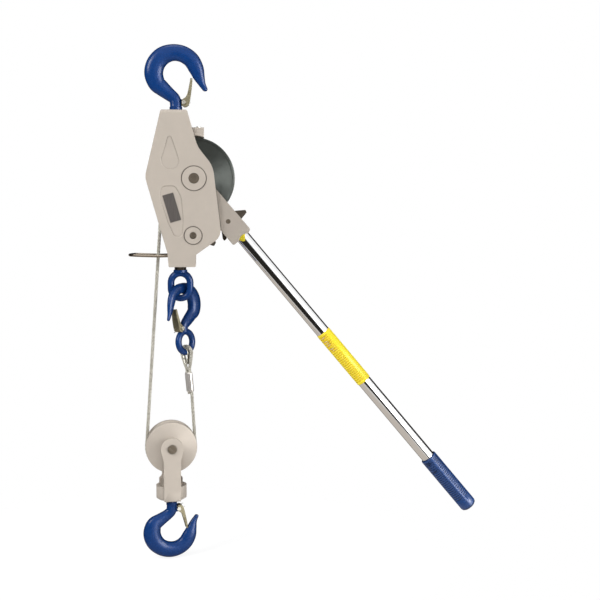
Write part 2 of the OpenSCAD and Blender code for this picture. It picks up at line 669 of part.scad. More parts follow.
// ---------- top hook ----------
hook_neck_z = -2.28;
top_c = [0, -bowl_r];
top_neck = -bowl_r + hook_neck_z*bowl_r;
module top_hook() {
  color(hook_blue) union() {
    at(top_c) hook_forging(bowl_r);
    at(top_c) latch_lug_solid(bowl_r);
    rod_z(collar_d, -frame_top + bead, top_neck + 1.5);
    rod_z(shank_d, -frame_top - top_head_t - 12, -frame_top + 1);
  }
}
module top_hook_nut() {
  z1 = -frame_top - top_head_t - bead;
  color(black_steel) difference() {
    hex_z(24, z1 - 11, z1);
    rod_z(shank_d, z1 - 12, z1 + 1);
  }
}
module top_latch() { color(zinc) at(top_c) latch_sheet(bowl_r); }
module top_latch_pin() { color(zinc) at(top_c) latch_pin_solid(bowl_r); }
module top_latch_spring() { color(zinc) at(top_c) latch_spring_solid(bowl_r); }

// ---------- handle ----------
// Children are drawn with U along the handle on X, and V across it on Z
module on_handle() { at(drum_c) rotate([0, 90 - handle_angle, 0]) children(); }
yoke_off = -2.5;
drive_pin_d = 8;
socket_l = 13;       // block that holds the root of the tube
pawl_tail = 22;      // from the drive pawl's pin to the end of its wings, along the handle
pawl_u = yoke_l - socket_l - pawl_tail - 1;
yoke_hub_r = 24;
yoke_rivet_d = 5;
yoke_rivet_spots = [[yoke_l - 7.5, 6], [yoke_l - 7.5, -7]];
module yoke_side_shape() {
  difference() {
    union() {
      circle(r = yoke_hub_r, $fn = 64);
      polygon(rounded([[0, yoke_hub_r - 0.5, 1], [30, yoke_off + yoke_w/2 - 1, 30],
        [yoke_l - 3, yoke_off + yoke_w/2, 4], [yoke_l, yoke_off + yoke_w/2 - 6, 4],
        [yoke_l, yoke_off - yoke_w/2 + 1, 3], [30, yoke_off - yoke_w/2 + 1, 30], [0, -yoke_hub_r + 0.5, 1]]));
    }
    circle(d = axle_d + 2*run_gap, $fn = 64);
    translate([pawl_u, yoke_off]) circle(d = drive_pin_d, $fn = 32);
    for (p = yoke_rivet_spots) translate(p) circle(d = yoke_rivet_d, $fn = 24);
    // Hollow of the end, round the tube
    translate([yoke_l + tube_d/2 - 4, 0]) circle(d = tube_d, $fn = 64);
  }
}
module yoke_arm() { slab(yoke_in, yoke_out) yoke_side_shape(); }
module yoke_front() { color(cast_grey) on_handle() mirror([0, 1, 0]) yoke_arm(); }
module yoke_rear() { color(cast_grey) on_handle() yoke_arm(); }
// Block between the arms, bored for the tube
socket_start = yoke_l - socket_l - 1;
module tube_socket() {
  color(cast_grey) on_handle() difference() {
    // The lower near corner is cut away for the tail of the holding pawl
    slab(-yoke_in, yoke_in) translate([socket_start, 0]) polygon(rounded([
      [5, yoke_off - yoke_w/2 + 3, 2], [0, yoke_off - yoke_w/2 + 9.5, 2], [0, yoke_off + yoke_w/2 - 3, 2],
      [socket_l - 4.5, yoke_off + yoke_w/2 - 3, 2], [socket_l - 4.5, yoke_off - yoke_w/2 + 3, 2]]));
    translate([socket_start - 1, 0, 0]) rotate([0, 90, 0])
      cylinder(d = tube_d + 2*run_gap, h = socket_l + 4, $fn = 64);
    for (p = yoke_rivet_spots) at(p) rod_y(yoke_rivet_d, -yoke_in - 1, yoke_in + 1);
  }
}
module yoke_rivets() {
  color(zinc) on_handle() for (p = yoke_rivet_spots) at(p)
    rod_y(yoke_rivet_d - 2*run_gap, -yoke_out, yoke_out);
}
tube_start = socket_start;
module handle_tube() {
  color(chrome) on_handle() difference() {
    translate([tube_start, 0, 0]) rotate([0, 90, 0]) cylinder(d = tube_d, h = handle_l - 4 - tube_start, $fn = 96);
    translate([tube_start - 1, 0, 0]) rotate([0, 90, 0])
      cylinder(d = tube_d - 2*tube_wall, h = handle_l - tube_start, $fn = 96);
    for (p = yoke_rivet_spots) at(p) rod_y(yoke_rivet_d, -20, 20);
  }
}
// Yellow mark round the front of the tube where it leaves the yoke
module root_patch() {
  color(yellow) on_handle() translate([yoke_l - 5, 0, 0]) rotate([0, 90, 0]) rotate([0, 0, -176])
    rotate_extrude(angle = 150, $fn = 96) polygon([[tube_d/2 + run_gap, 0], [tube_d/2 + 0.6, 0],
      [tube_d/2 + 0.6, 11], [tube_d/2 + 0.3, 12], [tube_d/2 + run_gap, 12]]);
}
// Grooves across a sleeve drawn along Z, which leave ribs between them: part of a turn each
module rib_grooves(r, deep, z0, pitch, count, from, sweep) {
  rotate([0, 0, from]) rotate_extrude(angle = sweep, $fn = 96)
    for (i = [0:count - 1]) translate([0, z0 + pitch*i])
      polygon([[r - deep, pitch*0.12], [r + 1, -pitch*0.14], [r + 1, pitch*0.54], [r - deep, pitch*0.28]]);
}
rib_deep = 0.8;
module hold_sleeve() {
  ribs = 26;
  pitch = sleeve_l/(ribs + 2);
  r = sleeve_d/2;
  color(yellow) on_handle() translate([sleeve_at, 0, 0]) rotate([0, 90, 0]) difference() {
    rotate_extrude($fn = 96) polygon([[tube_d/2 + run_gap, 0], [r - 0.8, 0], [r, 0.8], [r, sleeve_l - 0.8],
      [r - 0.8, sleeve_l], [tube_d/2 + run_gap, sleeve_l]]);
    for (from = [-98, 82]) rib_grooves(r, rib_deep, pitch*1.2, pitch, ribs, from, 84);
  }
}
module grip() {
  ribs = 23;
  band = 22;           // smooth band at the closed end
  pitch = (grip_l - band)/(ribs + 1);
  r = grip_d/2;
  color(grip_blue) on_handle() translate([handle_l - grip_l, 0, 0]) rotate([0, 90, 0]) difference() {
    rotate_extrude($fn = 96) polygon([[tube_d/2 + run_gap, 0], [r - 1.6, 0], [r - 0.4, 0.8], [r, 2.4],
      [r, grip_l - 6], [r - 1.2, grip_l - 2.8], [r - 4, grip_l - 0.8], [r - 8, grip_l], [0, grip_l],
      [0, grip_l - 3.6], [tube_d/2 + run_gap, grip_l - 3.6]]);
    // Four ribbed panels with a smooth strip between neighbours
    for (panel = [[-88, 74], [6, 70], [92, 74], [186, 70]])
      rib_grooves(r, rib_deep, pitch, pitch, ribs, panel[0], panel[1]);
  }
}

// ---------- drive pawl ----------
pawl_p = [pawl_u, yoke_off];
drive_face = tooth_phase - 80 + 90 - handle_angle;
drive_lift = 11;
pawl_half = wheel_out - side_gap;
drive_hub_d = 18;
drive_spring_y = 10.6;
module drive_pawl() {
  nose = [for (q = nose_points(drive_face)) q - pawl_p];
  end = polar_nose(drive_face, -0.5, nose_r + 10) - pawl_p;
  color(black_steel) on_handle() at(pawl_p) difference() {
    union() {
      rod_y(drive_hub_d, -pawl_half, pawl_half);
      rotate([0, -drive_lift, 0]) for (y = [[-pawl_half + 0.3, drive_spring_y - 1.2], [wheel_in - 2.5, pawl_half - 0.3]])
        slab(y[0], y[1]) polygon([nose[0], nose[1], nose[2], [-5.5, 6.6], [4, 7.6], [1, -8.4], end]);
      slab(-8, 8) polygon(rounded([[-4, 6.5, 1], [-5.6, 20.5, 4], [4.6, 34.9, 1.2], [9, 33.5, 1.6],
        [11.4, 20.5, 4], [8, 0.5, 1]]));
      slab(-8, 8) polygon(rounded([[-7, -5.5, 1], [6.5, -19, 4], [17.4, -25.7, 1.6], [21, -25.9, 1.2],
        [21.4, -21.5, 3], [8, 0.5, 1]]));
    }
    rod_y(drive_pin_d + 2*run_gap, -pawl_half - 2, pawl_half + 2);
  }
}
module drive_pawl_pin() {
  color(black_steel) on_handle() at(pawl_p) difference() {
    rod_y(drive_pin_d - 0.1, -yoke_out, yoke_out);
    rod_y(2.6, -yoke_out - 1, -yoke_out + 2);
  }
}
module drive_pawl_spring() {
  wire = 1.2;
  coil_r = coil_radius(drive_hub_d, wire);
  turns = 2.25;
  steps = coil_steps*turns;
  y1 = drive_spring_y + turns*(wire + 0.5);
  a1 = 150 + 360*turns;
  coil = [for (i = [0:steps]) let (a = 150 + 360*turns*i/steps)
    [pawl_p[0] + coil_r*cos(a), mix(drive_spring_y, y1, i/steps), pawl_p[1] + coil_r*sin(a)]];
  leg0 = [for (s = [8, 3]) coil[0] + [sin(150), 0, -cos(150)]*s];
  leg1 = [for (s = [3, 9]) coil[steps] + [-sin(a1), 0, cos(a1)]*s];
  color(zinc) on_handle() tube_along(concat(leg0, coil, leg1), [0, 1, 0], wire, 6);
}

// ---------- lower ring ----------
ring_bend = (ring_w - ring_bar_d)/2;
ring_c = [ring_x, ring_low + ring_h/2 - ring_bar_d/2];
ring_half_straight = (ring_h - ring_w)/2;
ring_shank_d = shank_d - 2;
ring_turn = -6;      // turn of the ring about its shank, as the end hook leaves it
module ring() {
  color(hook_blue) at(ring_c) rotate([0, 0, ring_turn]) {
    for (m = [0, 1]) mirror([0, 0, m]) translate([0, 0, ring_half_straight]) rotate([90, 0, 0])
      rotate_extrude(angle = 180, $fn = 96) translate([ring_bend, 0]) circle(d = ring_bar_d, $fn = 48);
    for (x = [-ring_bend, ring_bend]) translate([x, 0, 0]) rod_z(ring_bar_d, -ring_half_straight, ring_half_straight);
    z1 = frame_bottom - ring_c[1];
    rod_z(23, z1 - ring_drop - 4.7, z1 - ring_drop - 0.2);
    rod_z(ring_shank_d, z1 - 8, z1 + low_head_t + 11);
  }
}
module ring_nut() {
  z0 = frame_bottom + low_head_t + bead;
  color(black_steel) translate([ring_x, 0, 0]) difference() {
    hex_z(20, z0, z0 + 9);
    rod_z(ring_shank_d, z0 - 1, z0 + 12);
  }
}
module ring_washer() {
  color(black_steel) translate([ring_x, 0, 0]) difference() {
    hex_z(17, frame_bottom - ring_drop + 0.2, frame_bottom - bead);
    rod_z(ring_shank_d, frame_bottom - ring_drop - 1, frame_bottom + 1);
  }
}

// ---------- end hook and the dead end of the rope ----------
// Children are drawn below the point where the end hook bears on the ring
hook_yaw = 230;
saddle_rise = 1.2;   // the two bars cross at a slant, so the bowl seats above the ring's lowest part
hang_z = ring_low + ring_bar_d/2 + saddle_rise;
module on_line() { translate([ring_x, 0, hang_z]) rotate([0, lead_turn, 0]) children(); }
module on_end_hook() { on_line() translate([0, 0, -end_bowl_r]) rotate([0, 0, hook_yaw]) children(); }
eye_bar_d = 9;
eye_r = 17;
eye_z = hook_neck_z*end_bowl_r - eye_r - 1;
module end_hook() {
  color(hook_blue) on_end_hook() union() {
    hook_forging(end_bowl_r, end_hook_slim);
    latch_lug_solid(end_bowl_r);
    translate([0, 0, eye_z]) rotate([90, 0, 0])
      rotate_extrude($fn = 96) translate([eye_r, 0]) circle(d = eye_bar_d, $fn = 48);
  }
}
module end_latch() { color(zinc) on_end_hook() latch_sheet(end_bowl_r); }
module end_latch_pin() { color(zinc) on_end_hook() latch_pin_solid(end_bowl_r); }
module end_latch_spring() { color(zinc) on_end_hook() latch_spring_solid(end_bowl_r); }

eye_low = -end_bowl_r + eye_z - eye_r;
loop_r = eye_bar_d/2 + 1 + 1.4 + rope_d/2 + 0.2;
ferrule_top = eye_low - 35;
leg_half = rope_d/2 + 0.15;
module on_loop() { on_line() rotate([0, 0, hook_yaw - 90]) children(); }
function loop_path(r, half, low) = smooth(concat(
  [[half, 0, low], [half, 0, low + 3], [half, 0, low + 6], [mix(half, r, 0.55), 0, mix(low, eye_low, 0.5)]],
  [for (a = [-10:25:190]) [r*cos(a), 0, eye_low + r*sin(a)]],
  [[-mix(half, r, 0.55), 0, mix(low, eye_low, 0.5)], [-half, 0, low + 6], [-half, 0, low + 3], [-half, 0, low]]), 2);
module rope_eye() {
  color(rope_grey) on_loop() {
    tube_along(loop_path(loop_r, leg_half, ferrule_top), [0, 1, 0], rope_d, 8);
    // The cut end of the rope under the ferrule
    translate([leg_half, 0, 0]) rod_z(rope_d, ferrule_top - ferrule_l - 4, ferrule_top - ferrule_l);
  }
}
thimble_foot = 0.4;  // share of the way up from the ferrule to the eye
module thimble() {
  in_r = loop_r - rope_d/2 - 0.2;
  path = smooth(concat([[1.2, 0, mix(ferrule_top, eye_low, thimble_foot)]],
    [for (a = [-14:26:194]) [(in_r - 0.8)*cos(a), 0, eye_low + (in_r - 0.8)*sin(a)]],
    [[-1.2, 0, mix(ferrule_top, eye_low, thimble_foot)]]), 2);
  n = len(path);
  color(zinc) on_loop() skin(path, [for (p = path) [0, 1, 0]], [for (p = path) 3.4], [for (p = path) 0.7], 8);
}
module ferrule() {
  color(zinc) on_loop() translate([0, 0, ferrule_top - ferrule_l]) linear_extrude(ferrule_l) hull() {
    for (x = [-leg_half, leg_half]) translate([x, 0]) circle(d = rope_d + 4, $fn = 32);
  }
}
// Top end of the right strand, at the foot of the ferrule on its right-hand side
loop_dir = hook_yaw - 90;
foot_local = [leg_half*cos(loop_dir + 180), leg_half*sin(loop_dir + 180), ferrule_top - ferrule_l];
right_top = [ring_x + foot_local[0]*cos(lead_turn) + foot_local[2]*sin(lead_turn), foot_local[1],
  hang_z - foot_local[0]*sin(lead_turn) + foot_local[2]*cos(lead_turn)];
right_meet_a = -lead_turn;
right_low = [sheave_c[0] + pitch_r*cos(right_meet_a)*cos(block_yaw), pitch_r*sin(block_yaw),
  sheave_c[1] + pitch_r*sin(right_meet_a)];
function straight(a, b, step) = let (n = ceil(norm(b - a)/step)) [for (i = [0:n]) mix(a, b, i/n)];
module strand(a, b) {
  trim = unit(b - a)*rope_trim;
  color(rope_grey) tube_along(straight(a + trim, b - trim, rope_d*2.5), [0, 1, 0], rope_d, 8);
}
module strand_left() { strand(leave_p + strand_dir*rope_d, meet_p); }
module strand_right() { strand(right_top, right_low); }

// ---------- pulley block ----------
// Children are drawn round the pulley's axle
module on_block() { at(sheave_c) rotate([0, 0, block_yaw]) children(); }
cup_top = -66;
cup_bottom = cup_top - cup_h;
cup_wall = 5;
cup_floor = 9;
arm_in = block_w/2 - arm_t;
arm_end_d = 38;
module arm_shape() {
  difference() {
    union() {
      circle(d = arm_end_d, $fn = 96);
      polygon(rounded([[-arm_w/2, -6, 1], [-arm_w/2, cup_bottom, 2], [arm_w/2, cup_bottom, 2], [arm_w/2, -6, 1]]));
      polygon([[-arm_end_d/2*cos(20), -arm_end_d/2*sin(20)], [-arm_w/2, -22], [arm_w/2, -22],
        [arm_end_d/2*cos(20), -arm_end_d/2*sin(20)]]);
    }
    circle(d = sheave_pin_d + 2*run_gap, $fn = 64);
  }
}
// Rear wall of the cup, which sweeps up to the rear arm
module rear_sweep() {
  rise = 20;
  intersection() {
    translate([0, 0, cup_top - 3]) difference() {
      cylinder(d = cup_d, h = rise + 3, $fn = 96);
      translate([0, 0, -1]) cylinder(d = cup_d - 2*cup_wall, h = rise + 5, $fn = 96);
    }
    slab(2, block_w) difference() {
      translate([-cup_d/2 + 2, cup_top - 3]) square([cup_d - 4, rise + 3]);
      for (m = [-1, 1]) translate([m*(arm_w/2 + rise*0.55), cup_top + rise]) circle(r = rise*0.62, $fn = 64);
      for (m = [-1, 1]) translate([m*(cup_d/2 + 4), cup_top + rise/2]) square([20, rise + 0.1], center = true);
    }
  }
}
module block_yoke() {
  color(cast_grey) on_block() difference() {
    union() {
      translate([0, 0, cup_bottom + 3]) cylinder(d = cup_d, h = cup_h - 3, $fn = 96);
      translate([0, 0, cup_bottom]) cylinder(d1 = cup_d - 6, d2 = cup_d, h = 3, $fn = 96);
      for (m = [0, 1]) mirror([0, m, 0]) slab(arm_in, arm_in + arm_t) arm_shape();
      rear_sweep();
    }
    translate([0, 0, cup_bottom + cup_floor]) cylinder(d = cup_d - 2*cup_wall, h = cup_h, $fn = 96);
    translate([0, 0, cup_bottom - 1]) cylinder(d = shank_d + 2*run_gap, h = cup_h, $fn = 64);
  }
}
sheave_bush_d = sheave_pin_d + 5;
module sheave() {
  r = sheave_d/2;
  g = pitch_r - rope_d/2 - bead;
  h = sheave_w/2;
  q = rope_d/2 + 0.5;
  color("#CDC7BF") on_block() rotate([90, 0, 0]) rotate_extrude($fn = 128) polygon(concat(
    [[sheave_bush_d/2 + run_gap, -arm_in + 0.4], [15, -arm_in + 0.4], [17, -h - 2], [20, -h], [r - 0.8, -h],
      [r, -h + 0.8], [r, -q - 1.4]],
    [for (a = [-60:20:60]) [pitch_r - (rope_d/2 + bead)*cos(a), (rope_d/2 + bead)*sin(a)]],
    [[r, q + 1.4], [r, h - 0.8], [r - 0.8, h], [20, h], [17, h + 2], [15, arm_in - 0.4],
      [sheave_bush_d/2 + run_gap, arm_in - 0.4]]));
}
module sheave_bush() {
  color(bronze) on_block() difference() {
    rod_y(sheave_bush_d, -arm_in + 0.6, arm_in - 0.6);
    rod_y(sheave_pin_d + 2*run_gap, -arm_in - 1, arm_in + 1);
  }
}
module sheave_pin() {
  color(black_steel) on_block() difference() {
    union() {
      rod_y(sheave_pin_d, -block_w/2 - 0.5, block_w/2 + 5);
      rod_y(14.4, -block_w/2 - 2.6, -block_w/2);
      translate([0, block_w/2 + 6, 0]) rotate([90, 0, 0]) cylinder(d = 21, h = 6, $fn = 6);
    }
    rotate([0, 45, 0]) translate([-8, -block_w/2 - 4, -0.9]) cube([16, 2.6, 1.8]);
  }
}
module rope_on_sheave() {
  color(rope_grey) on_block() rotate([90, 0, 0])
    rotate_extrude(angle = 360 + right_meet_a - leave_a, start = leave_a, $fn = 96)
      translate([pitch_r, 0]) circle(d = rope_d, $fn = 32);
}

// ---------- block hook ----------
block_hook_turn = 6;
hook_drop = cup_bottom - bead - 4;
module on_block_hook() {
  // The same forging, hung upside down under the cup
  on_block() translate([0, 0, hook_drop]) rotate([0, 0, block_hook_turn]) rotate([0, 180, 180])
    translate([0, 0, -hook_neck_z*block_bowl_r]) children();
}
module block_hook() {
  color(hook_blue) union() {
    on_block_hook() {
      hook_forging(block_bowl_r);
      latch_lug_solid(block_bowl_r);
    }
    on_block() {
      rod_z(collar_d, hook_drop - 1.5, cup_bottom - bead);
      rod_z(shank_d, hook_drop, cup_bottom + cup_floor + 13);
    }
  }
}
module block_hook_nut() {
  z0 = cup_bottom + cup_floor + bead;
  color(black_steel) on_block() difference() {
    hex_z(24, z0, z0 + 10);
    rod_z(shank_d, z0 - 1, z0 + 12);
  }
}
module block_latch() { color(zinc) on_block_hook() latch_sheet(block_bowl_r); }
module block_latch_pin() { color(zinc) on_block_hook() latch_pin_solid(block_bowl_r); }
module block_latch_spring() { color(zinc) on_block_hook() latch_spring_solid(block_bowl_r); }

frame_front();
frame_rear();
frame_screws();
name_plate();
drum_axle();
axle_screws();
pawl_shaft();
pawl_shaft_screws();
rim_guard_screw();
spool();
drum_bush();
ratchet_front();
ratchet_rear();
disc_front();
disc_rear();
drum_rivets();
rope_lower_layers();
rope_winding();
holding_pawl();
release_bail();
holding_pawl_spring();
top_hook();
top_hook_nut();
top_latch();
top_latch_pin();
top_latch_spring();
yoke_front();
yoke_rear();
tube_socket();
yoke_rivets();
handle_tube();
root_patch();
hold_sleeve();
grip();
drive_pawl();
drive_pawl_pin();
drive_pawl_spring();
ring();
ring_nut();
ring_washer();
end_hook();
end_latch();
end_latch_pin();
end_latch_spring();
rope_eye();
thimble();
ferrule();
strand_left();
strand_right();
block_yoke();
sheave();
sheave_bush();
sheave_pin();
rope_on_sheave();
block_hook();
block_hook_nut();
block_latch();
block_latch_pin();
block_latch_spring();
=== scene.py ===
"""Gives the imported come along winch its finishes, rope, forgings and studio."""

import json
import math

import bmesh
import bpy
from mathutils import Matrix, Vector


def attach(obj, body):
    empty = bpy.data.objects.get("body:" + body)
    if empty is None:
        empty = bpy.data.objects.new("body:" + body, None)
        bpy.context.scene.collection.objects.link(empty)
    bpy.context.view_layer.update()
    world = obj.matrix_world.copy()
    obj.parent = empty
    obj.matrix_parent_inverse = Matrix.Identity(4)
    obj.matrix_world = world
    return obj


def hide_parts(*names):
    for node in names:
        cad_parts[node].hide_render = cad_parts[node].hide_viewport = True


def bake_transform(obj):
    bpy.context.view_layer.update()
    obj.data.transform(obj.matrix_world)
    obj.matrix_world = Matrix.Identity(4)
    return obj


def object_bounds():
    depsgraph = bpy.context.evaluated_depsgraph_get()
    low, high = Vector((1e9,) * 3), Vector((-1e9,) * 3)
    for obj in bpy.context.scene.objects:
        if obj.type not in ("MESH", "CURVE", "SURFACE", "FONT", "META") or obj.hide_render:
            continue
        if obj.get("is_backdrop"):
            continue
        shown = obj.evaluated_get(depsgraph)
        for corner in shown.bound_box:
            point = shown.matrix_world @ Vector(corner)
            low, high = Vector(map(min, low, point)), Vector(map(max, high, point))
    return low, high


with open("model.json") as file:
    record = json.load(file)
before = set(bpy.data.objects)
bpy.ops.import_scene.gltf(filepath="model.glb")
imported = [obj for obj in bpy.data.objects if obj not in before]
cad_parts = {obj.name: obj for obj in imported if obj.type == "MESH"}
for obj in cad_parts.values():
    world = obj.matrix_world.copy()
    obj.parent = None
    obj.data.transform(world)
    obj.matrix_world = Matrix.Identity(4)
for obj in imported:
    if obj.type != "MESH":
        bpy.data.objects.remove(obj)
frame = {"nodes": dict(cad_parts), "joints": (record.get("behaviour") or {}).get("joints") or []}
NODES = frame["nodes"]

bl_info = {
    "name": "Come Along Winch",
    "version": (1, 0, 0),
    "blender": (4, 5, 0),
    "location": "3D View > Sidebar > Winch",
    "description": "Builds the look of a wire rope ratchet hoist over its packed frame",
    "category": "Add Mesh",
}

MM = 0.001


def joint_place(name):
    """Where a joint of the frame sits, in millimetres."""
    joint = next(j for j in frame["joints"] if j["name"] == name)
    return Vector([round(v / MM, 3) for v in joint["pos_m"]])


# Places of the working axes, the height of the block hook's seat from the pulley's axis, and the turns of the
# handle, the end hook, the block and its hook. Sizes are in millimetres and turns in degrees from here on.
DRUM = joint_place("drum_turn")
PULLEY = joint_place("sheave_turn")
RING = joint_place("end_hook_swing")
BLOCK_SEAT = joint_place("block_hook_swivel").z - PULLEY.z
HANDLE_ANGLE = 39.9
END_HOOK_YAW = 230.0
BLOCK_YAW = 6.0
BLOCK_HOOK_TURN = 6.0

# Radius at which the rope's middle runs round the pulley, radius of the ring's bar, and the rise of the end
# hook's saddle over that bar
PULLEY_PITCH = 41.2
RING_BAR = 5.75
SADDLE_RISE = 1.2

# Radii of the ribs on the sleeve and the grip in the part, and the shown width of the handle's round pieces
# for each unit of the part's
SLEEVE_R = 14.0
GRIP_R = 15.5
TUBE_SHARE = 0.93
SLEEVE_SHARE = 0.912
GRIP_SHARE = 0.935


def linear(code):
    """An sRGB hex colour as linear red, green, blue and alpha."""
    parts = [int(code[i:i + 2], 16) / 255 for i in (1, 3, 5)]
    return [p / 12.92 if p <= 0.04045 else ((p + 0.055) / 1.055) ** 2.4 for p in parts] + [1.0]


def colour_setting(name, description, code):
    """A colour that the user can change."""
    return bpy.props.FloatVectorProperty(
        name=name, description=description, subtype="COLOR", size=4, min=0.0, max=1.0, default=linear(code))


def length_setting(name, description, millimetres):
    """A length that the user can change."""
    return bpy.props.FloatProperty(
        name=name, description=description, subtype="DISTANCE", unit="LENGTH", min=0.0,
        default=millimetres * MM)


class WinchColours(bpy.types.PropertyGroup):
    """Colours of the finishes."""
    casting: colour_setting("Castings", "Satin coat on the frame, the yoke and the pulley block", "#BDB3A7")
    enamel: colour_setting("Enamel", "Gloss enamel on the hooks and the ring", "#0A3671")
    turned: colour_setting("Turned steel", "Side discs and ratchet wheels of the drum", "#505350")
    plated: colour_setting("Zinc plate", "Drum axle, latch pins, springs and thimble", "#C9C6BC")
    latch: colour_setting("Passivated zinc", "Latches of the hooks", "#8A836B")
    oxide: colour_setting("Black oxide", "Pawls, nuts and frame screws", "#564F47")
    screw: colour_setting("Phosphated steel", "Axle screws, and pins of the pawl and the pulley", "#7C7265")
    bail: colour_setting("Polished wire", "Release bail of the holding pawl", "#9C9184")
    chromed: colour_setting("Chrome", "Handle tube", "#E4E5E6")
    marker: colour_setting("Yellow vinyl", "Sleeve on the handle and the mark at its root", "#EEDA22")
    # The colour of the sleeve's grooves is painted shade
    marker_groove_shade: colour_setting("Yellow grooves", "Grooves between the ribs of the sleeve", "#F0B200")
    grip: colour_setting("Blue vinyl", "Grip at the end of the handle", "#1C3F76")
    wire: colour_setting("Rope wire", "Galvanised wire of the rope", "#E2DFD2")
    # Darker spots laid at random over the rope's colour: painted sparkle, not oil or dust
    painted_sparkle: colour_setting("Dusty wire", "Spots of oil and dust on the rope", "#B5B0A2")
    # Painted shade in the valleys between the rope's strands
    valley_shade: colour_setting("Rope valleys", "Valleys between the strands of the rope", "#6B6659")
    ferrule: colour_setting("Swaged aluminium", "Sleeve that closes the rope's eye", "#D6D1CB")
    bronze: colour_setting("Bearing bronze", "Bushes of the drum and the pulley", "#A07A45")
    plate: colour_setting("Name plate", "Bare plate on the front of the frame", "#5D5855")


class WinchSizes(bpy.types.PropertyGroup):
    """Sizes of what is drawn over the frame."""
    rope: length_setting("Rope diameter", "Diameter of the wire rope over its strands", 5.6)
    lay: length_setting("Lay length", "Length in which a strand goes once round the rope", 36.0)
    ring_step: length_setting("Rope step", "Distance between the rope's rings", 1.3)
    bowl: length_setting("Bowl radius", "Radius of the bowl of the top hook", 23.2)
    block_bowl: length_setting("Block bowl radius", "Radius of the bowl of the block's hook", 20.5)
    end_bowl: length_setting("End bowl radius", "Radius of the bowl of the end hook", 19.5)
    strands: bpy.props.IntProperty(
        name="Strands", description="Outer strands of the rope", default=6, min=3, max=9)


def sizes():
    return bpy.context.scene.winch_sizes


def colours():
    return bpy.context.scene.winch_colours


# ---------------------------------------------------------------- finishes

def add(tree, kind, inputs=None, **settings):
    """Adds a node. inputs gives a socket, by name or number, a value or the node or socket that feeds it."""
    node = tree.nodes.new(kind)
    for key, value in settings.items():
        setattr(node, key, value)
    for key, value in (inputs or {}).items():
        if isinstance(value, bpy.types.Node):
            value = next(output for output in value.outputs if output.enabled)
        if isinstance(value, bpy.types.NodeSocket):
            tree.links.new(value, node.inputs[key])
        else:
            node.inputs[key].default_value = value
    return node


def start_finish(name, **shader):
    """A material whose Principled shader has these constants. Returns it with its tree, shader and place."""
    material = bpy.data.materials.new(name)
    material.use_nodes = True
    tree = material.node_tree
    tree.nodes.clear()
    constants = {key.replace("_", " "): value for key, value in shader.items()}
    principled = add(tree, "ShaderNodeBsdfPrincipled", constants)
    add(tree, "ShaderNodeOutputMaterial", {"Surface": principled})
    place = add(tree, "ShaderNodeTexCoord").outputs["Object"]
    return material, tree, principled, place


def shade(colour, factor):
    """A darker or lighter tone of a colour."""
    return [c * factor for c in colour[:3]] + [1.0]


def grain(tree, place, millimetres, detail=3.0):
    """A cloudy pattern whose grains are about this many millimetres across."""
    return add(tree, "ShaderNodeTexNoise", {"Vector": place, "Scale": 1 / MM / millimetres, "Detail": detail})


def vary_colour(tree, shader, factor, dark, light):
    """Runs the shader's colour from dark to light."""
    tones = add(tree, "ShaderNodeMix", {"Factor": factor, "A": dark, "B": light}, data_type="RGBA")
    tree.links.new(tones.outputs["Result"], shader.inputs["Base Color"])


def vary_roughness(tree, shader, factor, low, high):
    """Runs the shader's roughness from low to high over the middle of a pattern's range."""
    spread = add(tree, "ShaderNodeMapRange", {
        "Value": factor, "From Min": 0.3, "From Max": 0.7, "To Min": low, "To Max": high})
    tree.links.new(spread.outputs["Result"], shader.inputs["Roughness"])


def dent(tree, shader, height, millimetres, strength, rounded=None):
    """Raises and sinks the surface by a pattern. rounded is the radius that softens the edges under it."""
    links = {"Height": height, "Distance": millimetres * MM, "Strength": strength}
    if rounded is not None:
        links["Normal"] = add(tree, "ShaderNodeBevel", {"Radius": rounded * MM}, samples=4)
    bump = add(tree, "ShaderNodeBump", links)
    tree.links.new(bump.outputs["Normal"], shader.inputs["Normal"])


def satin_casting(name, tone):
    """Die-cast aluminium under a thin satin coat: soft sheen, fine grain, and painted shade in corners and
    grooves.
    """
    c = shade(colours().casting, tone)
    material, tree, shader, place = start_finish(name, Metallic=0.15, Roughness=0.5)
    clean = add(tree, "ShaderNodeMix", {
        "Factor": grain(tree, place, 18), "A": shade(c, 0.95), "B": shade(c, 1.04)}, data_type="RGBA")
    # Painted shade: ambient occlusion darkens the colour towards a third of its tone in corners, recesses and
    # grooves
    reach = add(tree, "ShaderNodeAmbientOcclusion", {"Distance": 3.0 * MM}, samples=8).outputs["AO"]
    out_of_painted_shade = add(tree, "ShaderNodeMapRange", {"Value": reach, "From Min": 0.45, "From Max": 0.96})
    vary_colour(tree, shader, out_of_painted_shade, shade(c, 0.3), clean)
    vary_roughness(tree, shader, grain(tree, place, 6), 0.44, 0.56)
    # Real grain is 0.3 mm. It is drawn at 0.9 mm so that it shows.
    dent(tree, shader, grain(tree, place, 0.9, 2.0), 0.05, 0.5, 0.6)
    return material


def gloss_enamel():
    """Stoved enamel over a forging: deep blue, wet gloss, with the forging's low waves under it."""
    c = colours().enamel
    material, tree, shader, place = start_finish("gloss_blue_enamel", Roughness=0.24, Specular_IOR_Level=0.25)
    # Painted shade: the colour darkens towards a quarter of its tone as the surface turns edge on, so the
    # hooks' edges look darker than their faces
    painted_edge_shade = add(tree, "ShaderNodeLayerWeight", {"Blend": 0.35}).outputs["Facing"]
    tone = add(tree, "ShaderNodeMix", {
        "Factor": grain(tree, place, 12), "A": shade(c, 0.88), "B": shade(c, 1.12)}, data_type="RGBA")
    vary_colour(tree, shader, painted_edge_shade, tone, shade(c, 0.25))
    vary_roughness(tree, shader, grain(tree, place, 5), 0.22, 0.32)
    dent(tree, shader, grain(tree, place, 4.0, 2.0), 0.12, 0.5, 0.8)
    return material


